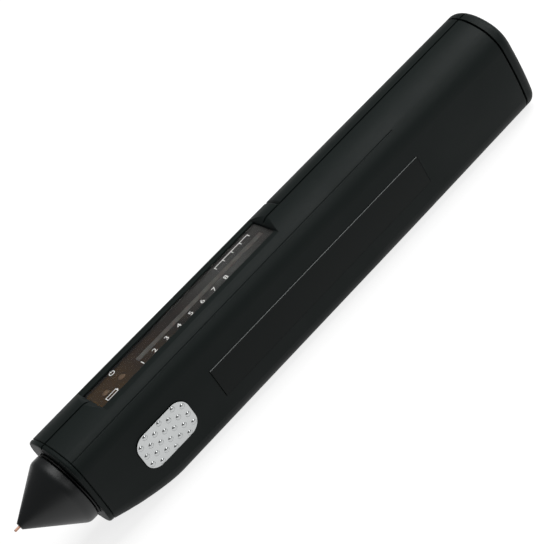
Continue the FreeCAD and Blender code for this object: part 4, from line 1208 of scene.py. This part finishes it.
@dataclass
class DryCell:
    """AAA cell: a drawn can with a stepped cap and nub in a shrunk printed sleeve."""

    node: str
    positive_rear: bool
    sides: int = 64
    sleeve_mm: float = 0.09
    nub_mm: float = 0.8
    rim_width_mm: float = 0.7
    rim_depth_mm: float = 0.35
    gasket_mm: float = 0.75
    nub_radius_mm: float = 1.9
    base_recess_mm: float = 0.2
    base_mm: float = 0.9
    fold_mm: float = 0.75
    film_mm: float = 0.072
    edge_mm: float = 0.12
    fold_edge_mm: float = 0.36
    band_mm: float = 12.0

    def reach(self) -> tuple[float, float, Vector, float]:
        """Measures the CAD node.

        Returns:
            Low and high X without the nub, the middle of the can, and its radius, in metres.
        """
        low, high = (Vector(corner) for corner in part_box(self.node))
        nub = self.nub_mm * MM
        start, end = (low.x, high.x - nub) if self.positive_rear else (low.x + nub, high.x)
        middle = Vector(((start + end) / 2, (low.y + high.y) / 2, (low.z + high.z) / 2))
        return start, end, middle, (high.z - low.z) / 2

    def barrel(self, radius: float, length: float, middle: Vector) -> bpy.types.Object:
        """Adds a cylinder that lies along the tester.

        Args:
            radius: Its radius in metres.
            length: Its length in metres.
            middle: Its middle.

        Returns:
            The cylinder, turned in its mesh.
        """
        bpy.ops.object.select_all(action="DESELECT")
        bpy.ops.mesh.primitive_cylinder_add(
            vertices=self.sides,
            radius=radius,
            depth=length,
            location=middle,
            rotation=(0.0, math.pi / 2, 0.0),
        )
        bpy.ops.object.transform_apply(location=False, rotation=True, scale=True)
        return bpy.context.object

    def step(self, piece: bpy.types.Object, towards: int, border: float, rise: float) -> None:
        """Insets the flat end of the can and moves its middle along the axis.

        Args:
            piece: The can in object mode.
            towards: 1 for the rear end and -1 for the front end.
            border: Width of the ring that stays, in mm.
            rise: How far the middle moves out, in mm.
        """
        middle = next(
            face.index
            for face in piece.data.polygons
            if face.normal.x * towards > FACING and len(face.vertices) == self.sides
        )
        pick_faces(piece, lambda face: face.index == middle)
        bpy.ops.mesh.inset(thickness=border * MM)
        bpy.ops.mesh.extrude_region_move(TRANSFORM_OT_translate={"value": (towards * rise * MM, 0.0, 0.0)})
        bpy.ops.object.mode_set(mode="OBJECT")

    def can(self) -> bpy.types.Object:
        """Draws the steel can with its cap, gasket groove and nub.

        Returns:
            The can as a closed mesh.
        """
        start, end, middle, radius = self.reach()
        inner = radius - self.sleeve_mm * MM
        can = self.barrel(inner, end - start - 2 * self.sleeve_mm * MM, middle)
        positive = 1 if self.positive_rear else -1
        self.step(can, positive, self.rim_width_mm, -self.rim_depth_mm)
        self.step(can, positive, self.gasket_mm, self.rim_depth_mm)
        cap_border = inner / MM - self.rim_width_mm - self.gasket_mm - self.nub_radius_mm
        self.step(can, positive, cap_border, self.nub_mm + self.sleeve_mm)
        self.step(can, -positive, self.base_mm, -self.base_recess_mm)
        self.step(can, -positive, self.base_mm / 2, self.base_recess_mm + self.sleeve_mm)
        apply_modifier(can, "BEVEL", width=self.edge_mm * MM, segments=2, limit_method="ANGLE")
        settle(can, self.node + "_can")
        CAN_STEEL.dress(can)
        return can

    def sleeve(self) -> bpy.types.Object:
        """Shrinks the printed film over the can and round both its ends.

        Returns:
            The film as a closed mesh.
        """
        start, end, middle, radius = self.reach()
        sleeve = self.barrel(radius, end - start, middle)
        hollow(sleeve, self.fold_mm, lambda face: abs(face.normal.x) > FACING)
        apply_modifier(sleeve, "BEVEL", width=self.fold_edge_mm * MM, segments=3, limit_method="ANGLE")
        apply_modifier(sleeve, "SOLIDIFY", thickness=self.film_mm * MM, offset=-1.0)
        settle(sleeve, self.node + "_sleeve")
        edge = end if self.positive_rear else start
        border = edge / MM + HALF_LENGTH_MM + (-self.band_mm if self.positive_rear else self.band_mm)
        film = ShrinkSleeve("sleeve_film_" + self.node, border_mm=border, positive_rear=self.positive_rear)
        film.dress(sleeve)
        return sleeve


@dataclass
class BatteryRoom(Assembly):
    """Two dry cells, their springs, contacts and wires."""

    def dressed(self) -> dict[str, Finish]:
        """Gives the finish of each CAD node that stays."""
        return {
            "cell_springs": NICKEL_PLATE,
            "front_contacts": NICKEL_PLATE,
            "rear_contact": NICKEL_PLATE,
            "battery_wires": BLACK_PVC,
        }

    def make(self) -> list[bpy.types.Object]:
        """Makes the two cells in place of their plain CAD nodes.

        Returns:
            The new pieces.
        """
        pieces = []
        cells = (DryCell("upper_cell", positive_rear=True), DryCell("lower_cell", positive_rear=False))
        for cell in cells:
            for piece in (cell.can(), cell.sleeve()):
                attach(piece, self.body)
                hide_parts(cell.node)
                pieces.append(piece)
        return pieces


@dataclass(frozen=True)
class Softbox:
    """Rectangular softbox: its place, the lengths of its sides and its power."""

    name: str
    place_mm: tuple[float, float, float]
    size_mm: tuple[float, float]
    watts: float

    def hang(self, target: Vector) -> None:
        """Hangs the softbox so that it looks at a point.

        Args:
            target: The point in metres.
        """
        data = bpy.data.lights.new(self.name, "AREA")
        data.shape = "RECTANGLE"
        data.size, data.size_y = (side * MM for side in self.size_mm)
        data.energy = self.watts
        lamp = bpy.data.objects.new(self.name, data)
        bpy.context.collection.objects.link(lamp)
        place = Vector(self.place_mm) * MM
        turn = (target - place).to_track_quat("-Z", "Y").to_matrix().to_4x4()
        lamp.matrix_world = Matrix.Translation(place) @ turn


@dataclass
class Studio:
    """Plain floor, soft lamps, pale world and the camera at the photograph's place."""

    softboxes: tuple[Softbox, ...] = (
        Softbox("top_softbox", (520.0, -40.0, 850.0), (700.0, 1450.0), 13.5),
        Softbox("front_softbox", (350.0, -650.0, 520.0), (460.0, 290.0), 1.9),
    )
    world_strength: float = 0.17
    floor_mm: float = 8000.0
    azimuth: float = -16.405
    elevation: float = 30.0
    roll: float = -37.591
    distance_mm: float = 524.363
    target_mm: tuple[float, float, float] = (2.928, 0.0, 16.203)
    lens_mm: float = 159.014
    sensor_mm: float = 36.0
    clip_mm: float = 10.0

    def floor(self) -> None:
        """Lays the floor under the keel."""
        bpy.ops.mesh.primitive_plane_add(size=self.floor_mm * MM)
        floor = bpy.context.object
        floor.name = "studio_floor"
        StudioFloor("matt_white_board").dress(floor)

    def world(self) -> None:
        """Gives the world an even pale light."""
        world = bpy.data.worlds.new("pale_world")
        world.use_nodes = True
        world.node_tree.nodes.clear()
        light = add_node(
            world.node_tree,
            "ShaderNodeBackground",
            {"Color": (1.0, 1.0, 1.0, 1.0), "Strength": self.world_strength},
        )
        add_node(world.node_tree, "ShaderNodeOutputWorld", {"Surface": light.outputs["Background"]})
        bpy.context.scene.world = world

    def camera(self) -> None:
        """Sets the camera where the photograph was taken from."""
        azimuth, elevation, roll = (math.radians(a) for a in (self.azimuth, self.elevation, self.roll))
        level = Vector((math.sin(azimuth), -math.cos(azimuth), 0.0))
        back = level * math.cos(elevation) + Vector((0.0, 0.0, math.sin(elevation)))
        right = (-back).cross(Vector((0, 0, 1))).normalized()
        up = right.cross(-back)
        turned_right = right * math.cos(roll) + up * math.sin(roll)
        turned_up = up * math.cos(roll) - right * math.sin(roll)
        data = bpy.data.cameras.new("camera")
        data.sensor_width = self.sensor_mm
        data.lens = self.lens_mm
        data.clip_start = self.clip_mm * MM
        camera = bpy.data.objects.new("camera", data)
        bpy.context.collection.objects.link(camera)
        axes = Matrix((turned_right, turned_up, back)).transposed().to_4x4()
        place = (Vector(self.target_mm) + back * self.distance_mm) * MM
        camera.matrix_world = Matrix.Translation(place) @ axes
        bpy.context.scene.camera = camera

    def build(self) -> None:
        """Builds the studio."""
        self.floor()
        self.world()
        for softbox in self.softboxes:
            softbox.hang(Vector(self.target_mm) * MM)
        self.camera()
        bpy.context.scene.view_settings.view_transform = "Standard"


def main() -> None:
    """Builds every sub-assembly and the studio."""
    logging.basicConfig(level=logging.INFO, format="%(message)s")
    for assembly in (Housing(), Display(), Grips(), Probe(), Circuit(), BatteryRoom()):
        assembly.build()
    Studio().build()


if __name__ == "__main__":
    main()
